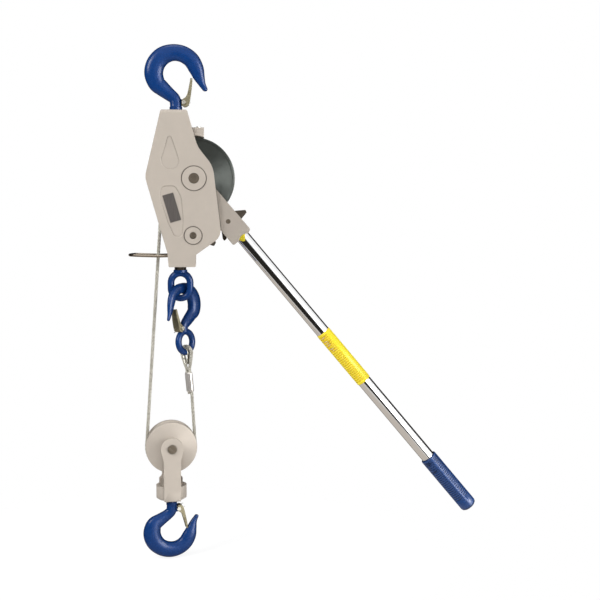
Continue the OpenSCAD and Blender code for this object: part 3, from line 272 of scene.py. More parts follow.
def turned_steel():
    """Dark oiled steel, turned on a lathe: fine rings about the axle spread the highlight into a fan."""
    c = colours().turned
    material, tree, shader, place = start_finish(
        "turned_dark_steel", Metallic=1.0, Roughness=0.46, Anisotropic=0.85, Anisotropic_Rotation=0.25)
    centred = add(tree, "ShaderNodeMapping", {"Vector": place, "Location": -DRUM * MM})
    parts = add(tree, "ShaderNodeSeparateXYZ", {"Vector": centred})
    flat = add(tree, "ShaderNodeCombineXYZ", {"X": parts.outputs["X"], "Y": parts.outputs["Z"]})
    radius = add(tree, "ShaderNodeVectorMath", {0: flat}, operation="LENGTH")
    # Tool marks are 0.2 mm apart. They are drawn at 0.8 mm so that they show.
    rings = add(tree, "ShaderNodeMath", {0: radius, 1: 2 * math.pi / (0.8 * MM)}, operation="MULTIPLY")
    wave = add(tree, "ShaderNodeMath", {0: rings}, operation="SINE")
    vary_colour(tree, shader, grain(tree, place, 9), shade(c, 0.85), shade(c, 1.12))
    vary_roughness(tree, shader, grain(tree, place, 3), 0.42, 0.5)
    dent(tree, shader, wave, 0.01, 0.4)
    along = add(tree, "ShaderNodeTangent", direction_type="RADIAL", axis="Y")
    tree.links.new(along.outputs["Tangent"], shader.inputs["Tangent"])
    return material


def metal(name, colour, low, high, grain_mm, depth, cloud_mm=8.0):
    """Bare or plated metal with slight differences of tone and gloss."""
    material, tree, shader, place = start_finish(name, Metallic=1.0, Roughness=(low + high) / 2)
    vary_colour(tree, shader, grain(tree, place, cloud_mm), shade(colour, 0.86), shade(colour, 1.08))
    vary_roughness(tree, shader, grain(tree, place, cloud_mm / 3), low, high)
    dent(tree, shader, grain(tree, place, grain_mm, 2.0), depth, 0.5, 0.35)
    return material


def bright_zinc():
    """Bright zinc plate on pressed steel: a light, slightly cloudy metal."""
    return metal("bright_zinc_plate", colours().plated, 0.3, 0.42, 0.8, 0.02)


def polished_wire():
    """Drawn steel wire, polished by handling: brown grey with sharp lights."""
    return metal("polished_steel_wire", colours().bail, 0.16, 0.26, 1.2, 0.01)


def black_oxide():
    """Black oxide on machined steel: dark brown grey with an oily sheen."""
    return metal("black_oxide_steel", colours().oxide, 0.35, 0.5, 0.6, 0.02)


def phosphated():
    """Phosphated screws and pins: brown grey, rubbed lighter on the high spots."""
    return metal("phosphated_steel", colours().screw, 0.3, 0.45, 2.0, 0.1, 2.5)


def oiled_bronze():
    """Plain bearing bronze with a dull film of oil."""
    return metal("oiled_bearing_bronze", colours().bronze, 0.35, 0.5, 0.7, 0.02)


def rope_core():
    """The hidden turns under the outer layer, in the tone of the rope darkened to 0.7: painted shade."""
    return metal("rope_under_layers", shade(colours().wire, 0.7), 0.4, 0.55, 1.5, 0.2)


def passivated_zinc():
    """Passivated zinc on the pressed latches: a dull metal between olive and straw."""
    c = colours().latch
    material, tree, shader, place = start_finish("passivated_zinc", Metallic=0.8, Roughness=0.42)
    vary_colour(tree, shader, grain(tree, place, 5), shade(c, 0.7), shade(c, 1.25))
    vary_roughness(tree, shader, grain(tree, place, 2), 0.34, 0.5)
    dent(tree, shader, grain(tree, place, 0.6, 2.0), 0.02, 0.5, 0.4)
    return material


def swaged_sleeve():
    """Aluminium sleeve as pressed: bright, with soft tool marks along it."""
    c = colours().ferrule
    material, tree, shader, place = start_finish("swaged_aluminium", Metallic=0.6, Roughness=0.34)
    vary_colour(tree, shader, grain(tree, place, 4), shade(c, 0.85), shade(c, 1.05))
    vary_roughness(tree, shader, grain(tree, place, 2), 0.28, 0.42)
    dent(tree, shader, grain(tree, place, 1.5, 2.0), 0.05, 0.5)
    return material


def chrome_plate():
    """Chrome plate on drawn tube: mirror reflections with a trace of the drawing lines."""
    c = colours().chromed
    material, tree, shader, place = start_finish("chrome_plated_tube", Metallic=1.0, Roughness=0.05)
    vary_colour(tree, shader, grain(tree, place, 30), shade(c, 0.97), shade(c, 1.0))
    vary_roughness(tree, shader, grain(tree, place, 5), 0.035, 0.08)
    return material


def from_handle_axis(tree, place):
    """Distance of a point from the middle line of the handle."""
    along, across = handle_directions()
    arm = add(tree, "ShaderNodeVectorMath", {0: place, 1: -DRUM * MM}, operation="ADD")
    side = add(tree, "ShaderNodeVectorMath", {0: arm, 1: along}, operation="CROSS_PRODUCT")
    return add(tree, "ShaderNodeVectorMath", {0: side}, operation="LENGTH")


def vinyl(name, colour, groove, radius, low, high):
    """Soft moulded vinyl: low sheen and smooth skin, with painted shade in a deeper tone in the grooves
    between its ribs.
    """
    material, tree, shader, place = start_finish(name, Roughness=(low + high) / 2, IOR=1.52)
    groove_depth, rib_depth = 0.7, 0.25
    out_of_groove_shade = add(tree, "ShaderNodeMapRange", {
        "Value": from_handle_axis(tree, place), "From Min": (radius - groove_depth) * MM,
        "From Max": (radius - rib_depth) * MM})
    cloud = grain(tree, place, 14)
    skin_tone = add(tree, "ShaderNodeMix", {
        "Factor": cloud, "A": shade(colour, 0.96), "B": shade(colour, 1.03)}, data_type="RGBA")
    # Painted shade: the colour runs to the groove colour where the surface sinks below the ribs' tops
    vary_colour(tree, shader, out_of_groove_shade, groove, skin_tone)
    vary_roughness(tree, shader, grain(tree, place, 4), low, high)
    return material


def yellow_vinyl():
    """Yellow vinyl moulded with ribs: bright on the ribs, with orange painted shade in the grooves."""
    radius = SLEEVE_R * SLEEVE_SHARE
    return vinyl("yellow_vinyl", colours().marker, colours().marker_groove_shade, radius, 0.36, 0.46)


def yellow_mark():
    """Smooth yellow vinyl in one tone. Its radius is taken well inside the mark, so that no groove shows."""
    return vinyl("yellow_mark", colours().marker, colours().marker, 10.0, 0.36, 0.46)


def blue_grip():
    """Blue vinyl moulded with ribs: glossier than the sleeve, with dark painted shade in the grooves."""
    c = colours().grip
    # Painted shade: the grooves take the grip's colour at 0.45 of its tone
    return vinyl("blue_vinyl_grip", c, shade(c, 0.45), GRIP_R * GRIP_SHARE, 0.3, 0.4)


def rope_wire():
    """Galvanised rope: pale wires that lie nearly along it, with painted shade between the wires and in the
    valleys between its strands.
    """
    c = colours().wire
    material, tree, shader, place = start_finish("galvanised_rope_wire", Metallic=0.0, Roughness=0.45)
    lobe = add(tree, "ShaderNodeAttribute", attribute_name="lobe").outputs["Fac"]
    along = add(tree, "ShaderNodeAttribute", attribute_name="along").outputs["Fac"]
    # Seven wires show across a strand, and each goes once round it in 22 mm
    shown, wire_lay = 7.0, 22 * MM
    turns = add(tree, "ShaderNodeMath", {0: along, 1: shown / wire_lay}, operation="MULTIPLY")
    count = add(tree, "ShaderNodeMath", {0: lobe, 1: shown, 2: turns}, operation="MULTIPLY_ADD")
    angle = add(tree, "ShaderNodeMath", {0: count, 1: 2 * math.pi}, operation="MULTIPLY")
    wires = add(tree, "ShaderNodeMath", {0: angle}, operation="SINE")
    spread = add(tree, "ShaderNodeMapRange", {"Value": wires, "From Min": -1.0, "From Max": 1.0})
    # Painted highlight and shade: each wire's colour runs lighter along its crest and darker towards the
    # wires beside it
    bright = add(tree, "ShaderNodeMix", {"Factor": spread, "A": shade(c, 0.85), "B": shade(c, 1.05)},
                 data_type="RGBA")
    # Painted sparkle: the colour runs darker in spots of a few millimetres at random, standing in for the
    # glints of the wires
    spots = add(tree, "ShaderNodeMapRange", {
        "Value": grain(tree, place, 3.0, 1.0), "From Min": 0.4, "From Max": 0.6})
    tone = add(tree, "ShaderNodeMix", {"Factor": spots, "A": colours().painted_sparkle, "B": bright}, data_type="RGBA")
    # Distance from the middle of a strand, 0 to 0.5
    side = add(tree, "ShaderNodeMath", {0: lobe, 1: 0.5}, operation="SUBTRACT")
    off = add(tree, "ShaderNodeMath", {0: side}, operation="ABSOLUTE")
    # Painted shade: the colour darkens towards the edges of each strand, into the valleys between strands
    valley_shade = add(tree, "ShaderNodeMapRange", {"Value": off, "From Min": 0.22, "From Max": 0.46})
    vary_colour(tree, shader, valley_shade, tone, colours().valley_shade)
    vary_roughness(tree, shader, grain(tree, place, 3), 0.36, 0.5)
    dent(tree, shader, wires, 0.06, 0.7)
    return material


def bare_plate():
    """Dark anodised plate, brushed lengthwise, with nothing written on it."""
    c = colours().plate
    plate_lean = math.radians(16)
    material, tree, shader, place = start_finish("dark_anodised_plate", Metallic=0.6, Roughness=0.42)
    stretched = add(tree, "ShaderNodeMapping", {
        "Vector": place, "Rotation": (0.0, plate_lean, 0.0), "Scale": (1.0, 1.0, 0.05)})
    vary_colour(tree, shader, grain(tree, stretched, 0.9, 4.0), shade(c, 0.75), shade(c, 1.3))
    vary_roughness(tree, shader, grain(tree, place, 2), 0.36, 0.5)
    return material


def pulley_zinc():
    """Zinc plated cast pulley, light and dull, with turned flanges."""
    c = colours().casting
    material, tree, shader, place = start_finish("zinc_plated_pulley", Metallic=0.1, Roughness=0.52)
    vary_colour(tree, shader, grain(tree, place, 14), shade(c, 0.92), shade(c, 1.02))
    vary_roughness(tree, shader, grain(tree, place, 5), 0.36, 0.5)
    dent(tree, shader, grain(tree, place, 0.8, 2.0), 0.03, 0.5, 0.8)
    return material


MAKERS = {
    "casting": lambda: satin_casting("satin_coated_casting", 0.87),
    # The yoke is the casting coat at 0.7 of its tone: painted shade, as it sits behind the frame's plates
    "yoke": lambda: satin_casting("satin_coated_yoke_painted_shade", 0.7),
    "block": lambda: satin_casting("satin_coated_block", 1.0),
    "enamel": gloss_enamel,
    "turned": turned_steel,
    "zinc": bright_zinc,
    "passivated": passivated_zinc,
    "oxide": black_oxide,
    "screw": phosphated,
    "bail": polished_wire,
    "chrome": chrome_plate,
    "yellow": yellow_vinyl,
    "mark": yellow_mark,
    "grip": blue_grip,
    "wire": rope_wire,
    "core": rope_core,
    "sleeve": swaged_sleeve,
    "plate": bare_plate,
    "bronze": oiled_bronze,
    "pulley": pulley_zinc,
}
FINISHES = {}


def finish_for(name):
    """The named finish, made once."""
    if name not in FINISHES:
        FINISHES[name] = MAKERS[name]()
    return FINISHES[name]


def paint(finish, *names):
    """Gives CAD nodes a finish."""
    for name in names:
        data = NODES[name].data
        data.materials.clear()
        data.materials.append(finish_for(finish))


# ---------------------------------------------------------------- shapes

def handle_directions():
    """The direction down the handle and the one square to it, both in the plane of the frame's face."""
    turn = math.radians(HANDLE_ANGLE)
    along = Vector((math.sin(turn), 0, -math.cos(turn)))
    across = Vector((math.cos(turn), 0, math.sin(turn)))
    return along, across


def turned_by(degrees, axis):
    """A turn about one of the row frame's axes."""
    return Matrix.Rotation(math.radians(degrees), 3, axis)


def round_point(radius, degrees, height=0.0):
    """A point in X and Z, at this radius and angle from the origin, and at this height in Y."""
    a = math.radians(degrees)
    return Vector((radius * math.cos(a), height, radius * math.sin(a)))


# The right strand's lean from upright: it runs from the ring to the side of the pulley
LEAD = -math.degrees(math.atan((PULLEY.x + PULLEY_PITCH - RING.x) / (RING.z - PULLEY.z)))


def place_on_line(point):
    """From the end hook's own frame, whose origin is its saddle on the ring, to the row frame."""
    foot = RING + Vector((0.0, 0.0, RING_BAR + SADDLE_RISE))
    return foot + turned_by(LEAD, "Y") @ point


def smooth(points, steps):
    """A Catmull-Rom curve through points of any size."""
    result = []
    last = len(points) - 1
    for i in range(last):
        p0, p1, p2, p3 = points[max(i - 1, 0)], points[i], points[i + 1], points[min(i + 2, last)]
        for j in range(steps):
            t = j / steps
            result.append([0.5 * (2 * b + (c - a) * t + (2 * a - 5 * b + 4 * c - d) * t * t
                                  + (3 * b - a - 3 * c + d) * t ** 3) for a, b, c, d in zip(p0, p1, p2, p3)])
    result.append(list(points[-1]))
    return result


def bridge(bm, rings, closed=False):
    """Joins rings of points with quads. closed joins the last ring to the first too."""
    pairs = list(zip(rings, rings[1:]))
    if closed:
        pairs.append((rings[-1], rings[0]))
    for r0, r1 in pairs:
        for k in range(len(r0)):
            following = (k + 1) % len(r0)
            bm.faces.new((r0[k], r0[following], r1[following], r1[k]))


def cap(bm, rings):
    """Closes the first and the last ring."""
    bm.faces.new(rings[0])
    bm.faces.new(list(reversed(rings[-1])))


def skin(bm, path, across, half_wide, half_thick, sides, power):
    """A closed skin of rings along a path. power under 1 squares the section."""
    rings = []
    for i, centre in enumerate(path):
        tangent = (path[min(i + 1, len(path) - 1)] - path[max(i - 1, 0)]).normalized()
        n = (across[i] - tangent * across[i].dot(tangent)).normalized()
        b = tangent.cross(n)
        ring = []
        for k in range(sides):
            a = 2 * math.pi * k / sides
            u = math.copysign(abs(math.cos(a)) ** power, math.cos(a))
            v = math.copysign(abs(math.sin(a)) ** power, math.sin(a))
            ring.append(bm.verts.new((centre + n * (half_wide[i] * u) + b * (half_thick[i] * v)) * MM))
        rings.append(ring)
    bridge(bm, rings)
    cap(bm, rings)


def turned_ring(bm, to_frame, profile, sides=128):
    """A ring of revolution about Y. profile is a closed loop of [radius, y]."""
    rings = []
    for i in range(sides):
        a = 360 * i / sides
        rings.append([bm.verts.new(to_frame(round_point(r, a, y)) * MM) for r, y in profile])
    bridge(bm, rings, closed=True)


def turned_post(bm, to_frame, profile, sides=40):
    """A solid of revolution about Z. profile is [radius, z] from bottom to top."""
    rings = []
    for r, z in profile:
        ring = []
        for k in range(sides):
            a = 2 * math.pi * k / sides
            ring.append(bm.verts.new(to_frame(Vector((r * math.cos(a), r * math.sin(a), z))) * MM))
        rings.append(ring)
    bridge(bm, rings)
    cap(bm, rings)


def torus(bm, to_frame, major, minor, around=64, sides=20):
    """A closed ring in X and Z about the origin."""
    rings = []
    for i in range(around):
        centre = round_point(major, 360 * i / around)
        out = centre.normalized()
        ring = []
        for k in range(sides):
            a = 2 * math.pi * k / sides
            offset = out * (minor * math.cos(a)) + Vector((0, minor * math.sin(a), 0))
            ring.append(bm.verts.new(to_frame(centre + offset) * MM))
        rings.append(ring)
    bridge(bm, rings, closed=True)


def merged_copy(node):
    """A CAD node's mesh with its loose triangles joined."""
    bm = bmesh.new()
    bm.from_mesh(NODES[node].data)
    bmesh.ops.remove_doubles(bm, verts=bm.verts, dist=0.002 * MM)
    return bm


def cut_across(bm, place, direction):
    """Adds the edges where a plane crosses the mesh, so that it can bend there."""
    everything = bm.verts[:] + bm.edges[:] + bm.faces[:]
    bmesh.ops.bisect_plane(bm, geom=everything, plane_co=place, plane_no=direction)


def round_off(mesh, degrees):
    """Smooth shading, with creases where faces meet at more than this angle."""
    for polygon in mesh.polygons:
        polygon.use_smooth = True
    mesh.set_sharp_from_angle(angle=math.radians(degrees))


def linked(name, data):
    """A new object at the origin."""
    obj = bpy.data.objects.new(name, data)
    bpy.context.scene.collection.objects.link(obj)
    return obj


def finish_mesh(bm, name, finish, crease=40.0):
    """Turns a bmesh into an object with its finish and outward faces."""
    bmesh.ops.recalc_face_normals(bm, faces=bm.faces)
    mesh = bpy.data.meshes.new(name)
    bm.to_mesh(mesh)
    bm.free()
    round_off(mesh, crease)
    mesh.materials.append(finish_for(finish))
    return linked(name, mesh)


def stand_for(obj, body, slot, *nodes):
    """Hangs a piece on a body's empty and hides the CAD nodes that it stands for."""
    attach(obj, body)
    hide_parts(*nodes)
    return obj


# ---------------------------------------------------------------- forged hooks

# Height of the top of the neck, in shares of the bowl radius
NECK_Z = -2.28

# Depth of the section in shares of its width: at the back of the bowl, at the neck and at the tip
BACK_DEPTH = 0.68
NECK_DEPTH = 0.98
TIP_DEPTH = 1.05

# Place of the latch's pin beside the neck, in shares of the bowl radius
PIVOT = (0.56, -1.92)

# Each forging in shares of its bowl radius: stations [x, z, half width] of the neck and of the tip, and
# between them the inner and outer radius of the bowl at eight even angles from the neck side to the nose
FORGINGS = {
    "top": {
        "neck": [[0, -2.28, 0.42], [-0.01, -2.0, 0.41], [-0.1, -1.66, 0.42], [-0.52, -1.3, 0.48],
                 [-0.98, -0.92, 0.565]],
        "inner": [0.84, 0.88, 0.93, 0.97, 1.0, 0.985, 0.975, 1.0],
        "outer": [2.08, 2.22, 2.27, 2.26, 2.19, 2.165, 2.14, 2.08],
        "tip": [[1.66, -0.08, 0.42], [1.86, -0.56, 0.27], [2.02, -0.86, 0.2], [2.09, -0.98, 0.185],
                [2.12, -1.07, 0.14], [2.13, -1.12, 0.06]],
    },
    "block": {
        "neck": [[0, -2.28, 0.42], [-0.01, -2.02, 0.41], [-0.06, -1.68, 0.43], [-0.42, -1.36, 0.46],
                 [-0.95, -1.03, 0.53]],
        "inner": [0.97, 0.95, 0.93, 0.93, 0.92, 0.94, 0.945, 0.98],
        "outer": [2.27, 2.4, 2.37, 2.28, 2.23, 2.19, 2.16, 2.12],
        "tip": [[1.68, -0.12, 0.42], [1.84, -0.6, 0.28], [2.0, -0.92, 0.2], [2.1, -1.08, 0.175],
                [2.16, -1.16, 0.13], [2.18, -1.2, 0.06]],
    },
    "end": {
        "neck": [[0, -2.28, 0.32], [0.0, -1.98, 0.34], [-0.14, -1.68, 0.42], [-0.58, -1.34, 0.5],
                 [-1.08, -0.98, 0.54]],
        "inner": [0.98, 0.98, 0.99, 1.0, 1.0, 1.0, 1.0, 1.0],
        "outer": [2.24, 2.3, 2.26, 2.1, 1.93, 1.88, 1.83, 1.76],
        "tip": [[1.5, -0.1, 0.3], [1.68, -0.58, 0.2], [1.82, -0.88, 0.15], [1.87, -0.99, 0.13],
                [1.89, -1.07, 0.09], [1.9, -1.1, 0.04]],
    },
}

# Angle at which the bowl starts at the neck side, and the turn from one of its stations to the next
BOWL_START = 203.0
BOWL_STEP = 26.43

# A latch's edges [open side, closed side] from its nose down to its rivet, the height that stays still when
# its nose is moved, and the nose's rise over that height, in shares of the bowl radius
LATCH_ROWS = [
    ((1.05, -0.2), (1.2, -0.22)), ((1.0, -0.5), (1.18, -0.53)), ((0.94, -0.8), (1.15, -0.83)),
    ((0.88, -1.1), (1.11, -1.12)), ((0.81, -1.35), (1.07, -1.4)), ((0.7, -1.55), (1.03, -1.65)),
    ((0.52, -1.68), (0.98, -1.9)), ((0.43, -1.8), (0.9, -2.1)), ((0.42, -1.98), (0.76, -2.22)),
    ((0.43, -2.12), (0.6, -2.25))]
LATCH_STILL_Z = -2.0
LATCH_RISE = 1.8

# The latch's sheet, and its gap beside the ear, in millimetres
LATCH_WALL = 1.3
LATCH_GAP = 0.3


def hook_stations(forging):
    """Stations [x, z, half width] of the whole forging, in shares of its bowl radius."""
    bowl = []
    for i, (inner, outer) in enumerate(zip(forging["inner"], forging["outer"])):
        middle = round_point((inner + outer) / 2, BOWL_START - BOWL_STEP * i)
        bowl.append([middle.x, middle.z, (outer - inner) / 2])
    return forging["neck"] + bowl + forging["tip"]


def forged_hook(bm, radius, to_frame, forging, steps=6, sides=28):
    """A squared oval section along the forging's curve, flat at the back and round at the neck and tip."""
    stations = smooth(hook_stations(forging), steps)
    count = len(stations)
    path = [Vector((x * radius, 0, z * radius)) for x, z, _ in stations]
    origin = to_frame(Vector((0, 0, 0)))
    across, wide, thick = [], [], []
    for i, (_, _, half) in enumerate(stations):
        tangent = (path[min(i + 1, count - 1)] - path[max(i - 1, 0)]).normalized()
        across.append(to_frame(tangent.cross(Vector((0, 1, 0)))) - origin)
        # The neck's roundness fades over three stations, and the tip's comes on over the last six
        neck = max(0.0, 1 - i / (3 * steps))
        tip = max(0.0, 1 - (count - i) / (6 * steps))
        depth = BACK_DEPTH + (NECK_DEPTH - BACK_DEPTH) * neck
        depth += (TIP_DEPTH - depth) * tip
        wide.append(half * radius)
        thick.append(half * depth * radius)
    skin(bm, [to_frame(p) for p in path], across, wide, thick, sides, 0.86)


def lug_half(radius):
    """Half the width of the ear beside the neck that carries the latch's pin."""
    return radius * 0.2 + 0.9


def latch_lug(bm, radius, to_frame):
    """The ear beside the neck that carries the latch's pin, with its edges rounded."""
    half = lug_half(radius)
    px, pz = PIVOT[0] * radius, PIVOT[1] * radius
    in_neck = -0.1 * radius
    outline = [(in_neck, pz - 5.2), (px, pz - 5), (px + 3.6, pz - 3.4), (px + 5, pz - 0.6),
               (px + 4.4, pz + 2.8), (px + 2.4, pz + 4.8), (px, pz + 5.2), (in_neck, pz + 6)]
    outline = [Vector(p) for p in outline]
    centre = sum(outline, Vector((0, 0))) / len(outline)
    rings = []
    for inset, y in ((0.7, -1.0), (0.0, -0.4), (0.0, half - 0.8), (0.3, half - 0.2), (1.0, half)):
        drawn_in = [p + (centre - p).normalized() * inset for p in outline]
        rings.append([bm.verts.new(to_frame(Vector((q.x, y, q.y))) * MM) for q in drawn_in])
    bridge(bm, rings)
    cap(bm, rings)


def pressed_latch(name, radius, to_frame, body, shift=0.0):
    """The throat's latch: a pressed channel that curls round its rivet and bows out to the nose."""
    half = lug_half(radius) + LATCH_GAP
    # shift moves the nose sideways by this share of the bowl radius, and the rest in step with its height
    rows = [[[u + shift * (w - LATCH_STILL_Z) / LATCH_RISE, w] for u, w in row] for row in LATCH_ROWS]
    rows = list(zip(smooth([row[0] for row in rows], 4), smooth([row[1] for row in rows], 4)))
    nose_half, nose_rows = 3.2, 12
    bm = bmesh.new()
    rings = []
    for i, (open_side, closed_side) in enumerate(rows):
        a = Vector((open_side[0] * radius, 0, open_side[1] * radius))
        b = Vector((closed_side[0] * radius, 0, closed_side[1] * radius))
        web = b + (a - b).normalized() * LATCH_WALL
        # The flanges draw in towards the nose
        h = half - (half - nose_half) * max(0.0, 1 - i / nose_rows)
        outside = h + LATCH_WALL
        section = [(a, -outside), (b, -outside), (b, outside), (a, outside),
                   (a, h), (web, h), (web, -h), (a, -h)]
        rings.append([bm.verts.new(to_frame(Vector((p.x, y, p.z))) * MM) for p, y in section])
    bridge(bm, rings)
    for ring in (rings[0], rings[-1]):
        for quad in ((0, 1, 6, 7), (1, 2, 5, 6), (2, 3, 4, 5)):
            bm.faces.new([ring[k] for k in quad])
    stand_for(finish_mesh(bm, name + "_pressed", "passivated", 35.0), body, "zinc", name)


# Each of these takes a point from a hook's or the block's own frame to the row frame

def to_top(p):
    return p + Vector((0, 0, -sizes().bowl / MM))


def to_end(p):
    drop = Vector((0, 0, -sizes().end_bowl / MM))
    return place_on_line(drop + turned_by(END_HOOK_YAW, "Z") @ p)


def to_block(p):
    return PULLEY + turned_by(BLOCK_YAW, "Z") @ p


# The block hook's collar hangs under the seat in the cup
COLLAR_GAP = 0.4
COLLAR_H = 4.0
COLLAR_LOW = BLOCK_SEAT - COLLAR_GAP - COLLAR_H


def to_block_hook(p):
    """The block's hook hangs upside down, with its neck at the collar."""
    neck = NECK_Z * sizes().block_bowl / MM
    hanging = Vector((p.x, -p.y, neck - p.z))
    return to_block(Vector((0, 0, COLLAR_LOW)) + turned_by(BLOCK_HOOK_TURN, "Z") @ hanging)


# Radius of the hooks' shanks, radius of the middle line of the end hook's eye, and the eye's gap to the neck
SHANK_R = 7.0
EYE_PITCH = 17.0
EYE_GAP = 1.0


def eye_centre():
    """Height of the end hook's eye in the frame of its bowl."""
    return NECK_Z * sizes().end_bowl / MM - EYE_PITCH - EYE_GAP


class WINCH_OT_hooks(bpy.types.Operator):
    """Forge the three hooks and enamel them"""
    bl_idname = "winch.hooks"
    bl_label = "Hooks"

    def execute(self, context):
        self.forge_top()
        self.forge_end()
        self.forge_block()
        paint("enamel", "ring")
        return {"FINISHED"}

    def forge_top(self):
        """The top hook, with its shank through the frame and the collar that it hangs by."""
        bowl = sizes().bowl / MM
        shank_low, collar_low = -108.0, -81.4
        neck = -bowl + NECK_Z * bowl
        bm = bmesh.new()
        forged_hook(bm, bowl, to_top, FORGINGS["top"])
        latch_lug(bm, bowl, to_top)
        turned_post(bm, lambda p: p, [
            [SHANK_R, shank_low], [SHANK_R, collar_low], [10.1, collar_low], [10.5, collar_low + 0.4],
            [10.5, neck + 0.6], [9.6, neck + 1.5]])
        forging = finish_mesh(bm, "top_hook_forging", "enamel")
        stand_for(forging, "top_hook_body", "hook_blue", "top_hook")

    def forge_end(self):
        """The end hook, with the eye that holds the rope."""
        bowl = sizes().end_bowl / MM
        bm = bmesh.new()
        forged_hook(bm, bowl, to_end, FORGINGS["end"])
        latch_lug(bm, bowl, to_end)
        # The eye's bar is shown a little stouter than the part's
        rise, stouter, bar = 0.4, 0.4, 5.4
        torus(bm, lambda p: to_end(p + Vector((0, 0, eye_centre() + rise))), EYE_PITCH + stouter, bar)
        forging = finish_mesh(bm, "end_hook_forging", "enamel")
        stand_for(forging, "end_hook_body", "hook_blue", "end_hook")

    def forge_block(self):
        """The block's hook, with its collar and the shank in the cup."""
        bowl = sizes().block_bowl / MM
        shank_top, collar_top = -74.0, BLOCK_SEAT - COLLAR_GAP
        bm = bmesh.new()
        forged_hook(bm, bowl, to_block_hook, FORGINGS["block"])
        latch_lug(bm, bowl, to_block_hook)
        turned_post(bm, to_block, [
            [8.6, COLLAR_LOW - 1.5], [9.2, COLLAR_LOW - 0.6], [9.2, collar_top - 0.5], [8.6, collar_top],
            [SHANK_R, collar_top], [SHANK_R, shank_top]])
        forging = finish_mesh(bm, "block_hook_forging", "enamel")
        stand_for(forging, "block_hook_body", "hook_blue", "block_hook")


# ---------------------------------------------------------------- rope

def rope_section(tree, diameter, strands):
    """The rope's section: as many touching circles as there are strands, set in a ring."""
    count = add(tree, "ShaderNodeMath", {0: strands, 1: 8.0}, operation="MULTIPLY")
    circle = add(tree, "GeometryNodeCurvePrimitiveCircle", {"Resolution": count, "Radius": 1.0},
                 mode="RADIUS")
    factor = add(tree, "GeometryNodeSplineParameter").outputs["Factor"]
    lobes = add(tree, "ShaderNodeMath", {0: factor, 1: strands}, operation="MULTIPLY")
    lobe = add(tree, "ShaderNodeMath", {0: lobes}, operation="FRACT")
    from_middle = add(tree, "ShaderNodeMath", {0: lobe, 1: 0.5}, operation="SUBTRACT")
    sector = add(tree, "ShaderNodeMath", {0: 2 * math.pi, 1: strands}, operation="DIVIDE")
    angle = add(tree, "ShaderNodeMath", {0: from_middle, 1: sector}, operation="MULTIPLY")
    # A strand's radius, and the radius on which the strands' middles lie
    half_sector = add(tree, "ShaderNodeMath", {0: sector, 1: 2.0}, operation="DIVIDE")
    half_sine = add(tree, "ShaderNodeMath", {0: half_sector}, operation="SINE")
    sine_and_one = add(tree, "ShaderNodeMath", {0: half_sine, 1: 1.0}, operation="ADD")
    outer = add(tree, "ShaderNodeMath", {0: diameter, 1: 2.0}, operation="DIVIDE")
    outer_sine = add(tree, "ShaderNodeMath", {0: outer, 1: half_sine}, operation="MULTIPLY")
    strand = add(tree, "ShaderNodeMath", {0: outer_sine, 1: sine_and_one}, operation="DIVIDE")
    centre = add(tree, "ShaderNodeMath", {0: outer, 1: strand}, operation="SUBTRACT")
    # Where a ray at this angle leaves the nearest strand
    sine = add(tree, "ShaderNodeMath", {0: angle}, operation="SINE")
    cosine = add(tree, "ShaderNodeMath", {0: angle}, operation="COSINE")
    off = add(tree, "ShaderNodeMath", {0: centre, 1: sine}, operation="MULTIPLY")
    to_middle = add(tree, "ShaderNodeMath", {0: centre, 1: cosine}, operation="MULTIPLY")
    off_square = add(tree, "ShaderNodeMath", {0: off, 1: off}, operation="MULTIPLY")
    strand_square = add(tree, "ShaderNodeMath", {0: strand, 1: strand}, operation="MULTIPLY")
    left_over = add(tree, "ShaderNodeMath", {0: strand_square, 1: off_square}, operation="SUBTRACT")
    inside = add(tree, "ShaderNodeMath", {0: left_over, 1: 0.0}, operation="MAXIMUM")
    half_chord = add(tree, "ShaderNodeMath", {0: inside}, operation="SQRT")
    radius = add(tree, "ShaderNodeMath", {0: to_middle, 1: half_chord}, operation="ADD")
    here = add(tree, "GeometryNodeInputPosition")
    moved = add(tree, "ShaderNodeVectorMath", {0: here, "Scale": radius}, operation="SCALE")
    lobed = add(tree, "GeometryNodeStoreNamedAttribute", {"Geometry": circle, "Name": "lobe", "Value": lobe},
                data_type="FLOAT", domain="POINT")
    return add(tree, "GeometryNodeSetPosition", {"Geometry": lobed, "Position": moved})


def laid_rope_tree():
    """Sweeps a lobed section along a curve and twists it by the lay, so that the lobes are the strands."""
    tree = bpy.data.node_groups.new("laid_rope", "GeometryNodeTree")
    face = tree.interface
    face.new_socket("Geometry", in_out="INPUT", socket_type="NodeSocketGeometry")
    for name, kind, default in (("Diameter", "NodeSocketFloat", 0.0056), ("Lay", "NodeSocketFloat", 0.036),
                                ("Step", "NodeSocketFloat", 0.0013), ("Strands", "NodeSocketInt", 6)):
        face.new_socket(name, in_out="INPUT", socket_type=kind).default_value = default
    face.new_socket("Finish", in_out="INPUT", socket_type="NodeSocketMaterial")
    face.new_socket("Geometry", in_out="OUTPUT", socket_type="NodeSocketGeometry")
    given = add(tree, "NodeGroupInput").outputs
    section = rope_section(tree, given["Diameter"], given["Strands"])
    # Path: even rings, each turned on by its distance along the rope
    even = add(tree, "GeometryNodeResampleCurve", {"Curve": given["Geometry"], "Length": given["Step"]},
               mode="LENGTH")
    length = add(tree, "GeometryNodeSplineParameter").outputs["Length"]
    lays = add(tree, "ShaderNodeMath", {0: length, 1: given["Lay"]}, operation="DIVIDE")
    turn = add(tree, "ShaderNodeMath", {0: lays, 1: 2 * math.pi}, operation="MULTIPLY")
    twisted = add(tree, "GeometryNodeSetCurveTilt", {"Curve": even, "Tilt": turn})
    marked = add(tree, "GeometryNodeStoreNamedAttribute",
                 {"Geometry": twisted, "Name": "along", "Value": length}, data_type="FLOAT", domain="POINT")
    swept = add(tree, "GeometryNodeCurveToMesh",
                {"Curve": marked, "Profile Curve": section, "Fill Caps": True})
    real = add(tree, "GeometryNodeRealizeInstances", {"Geometry": swept})
    done = add(tree, "GeometryNodeSetMaterial", {"Geometry": real, "Material": given["Finish"]})
    add(tree, "NodeGroupOutput", {"Geometry": done})
    return tree


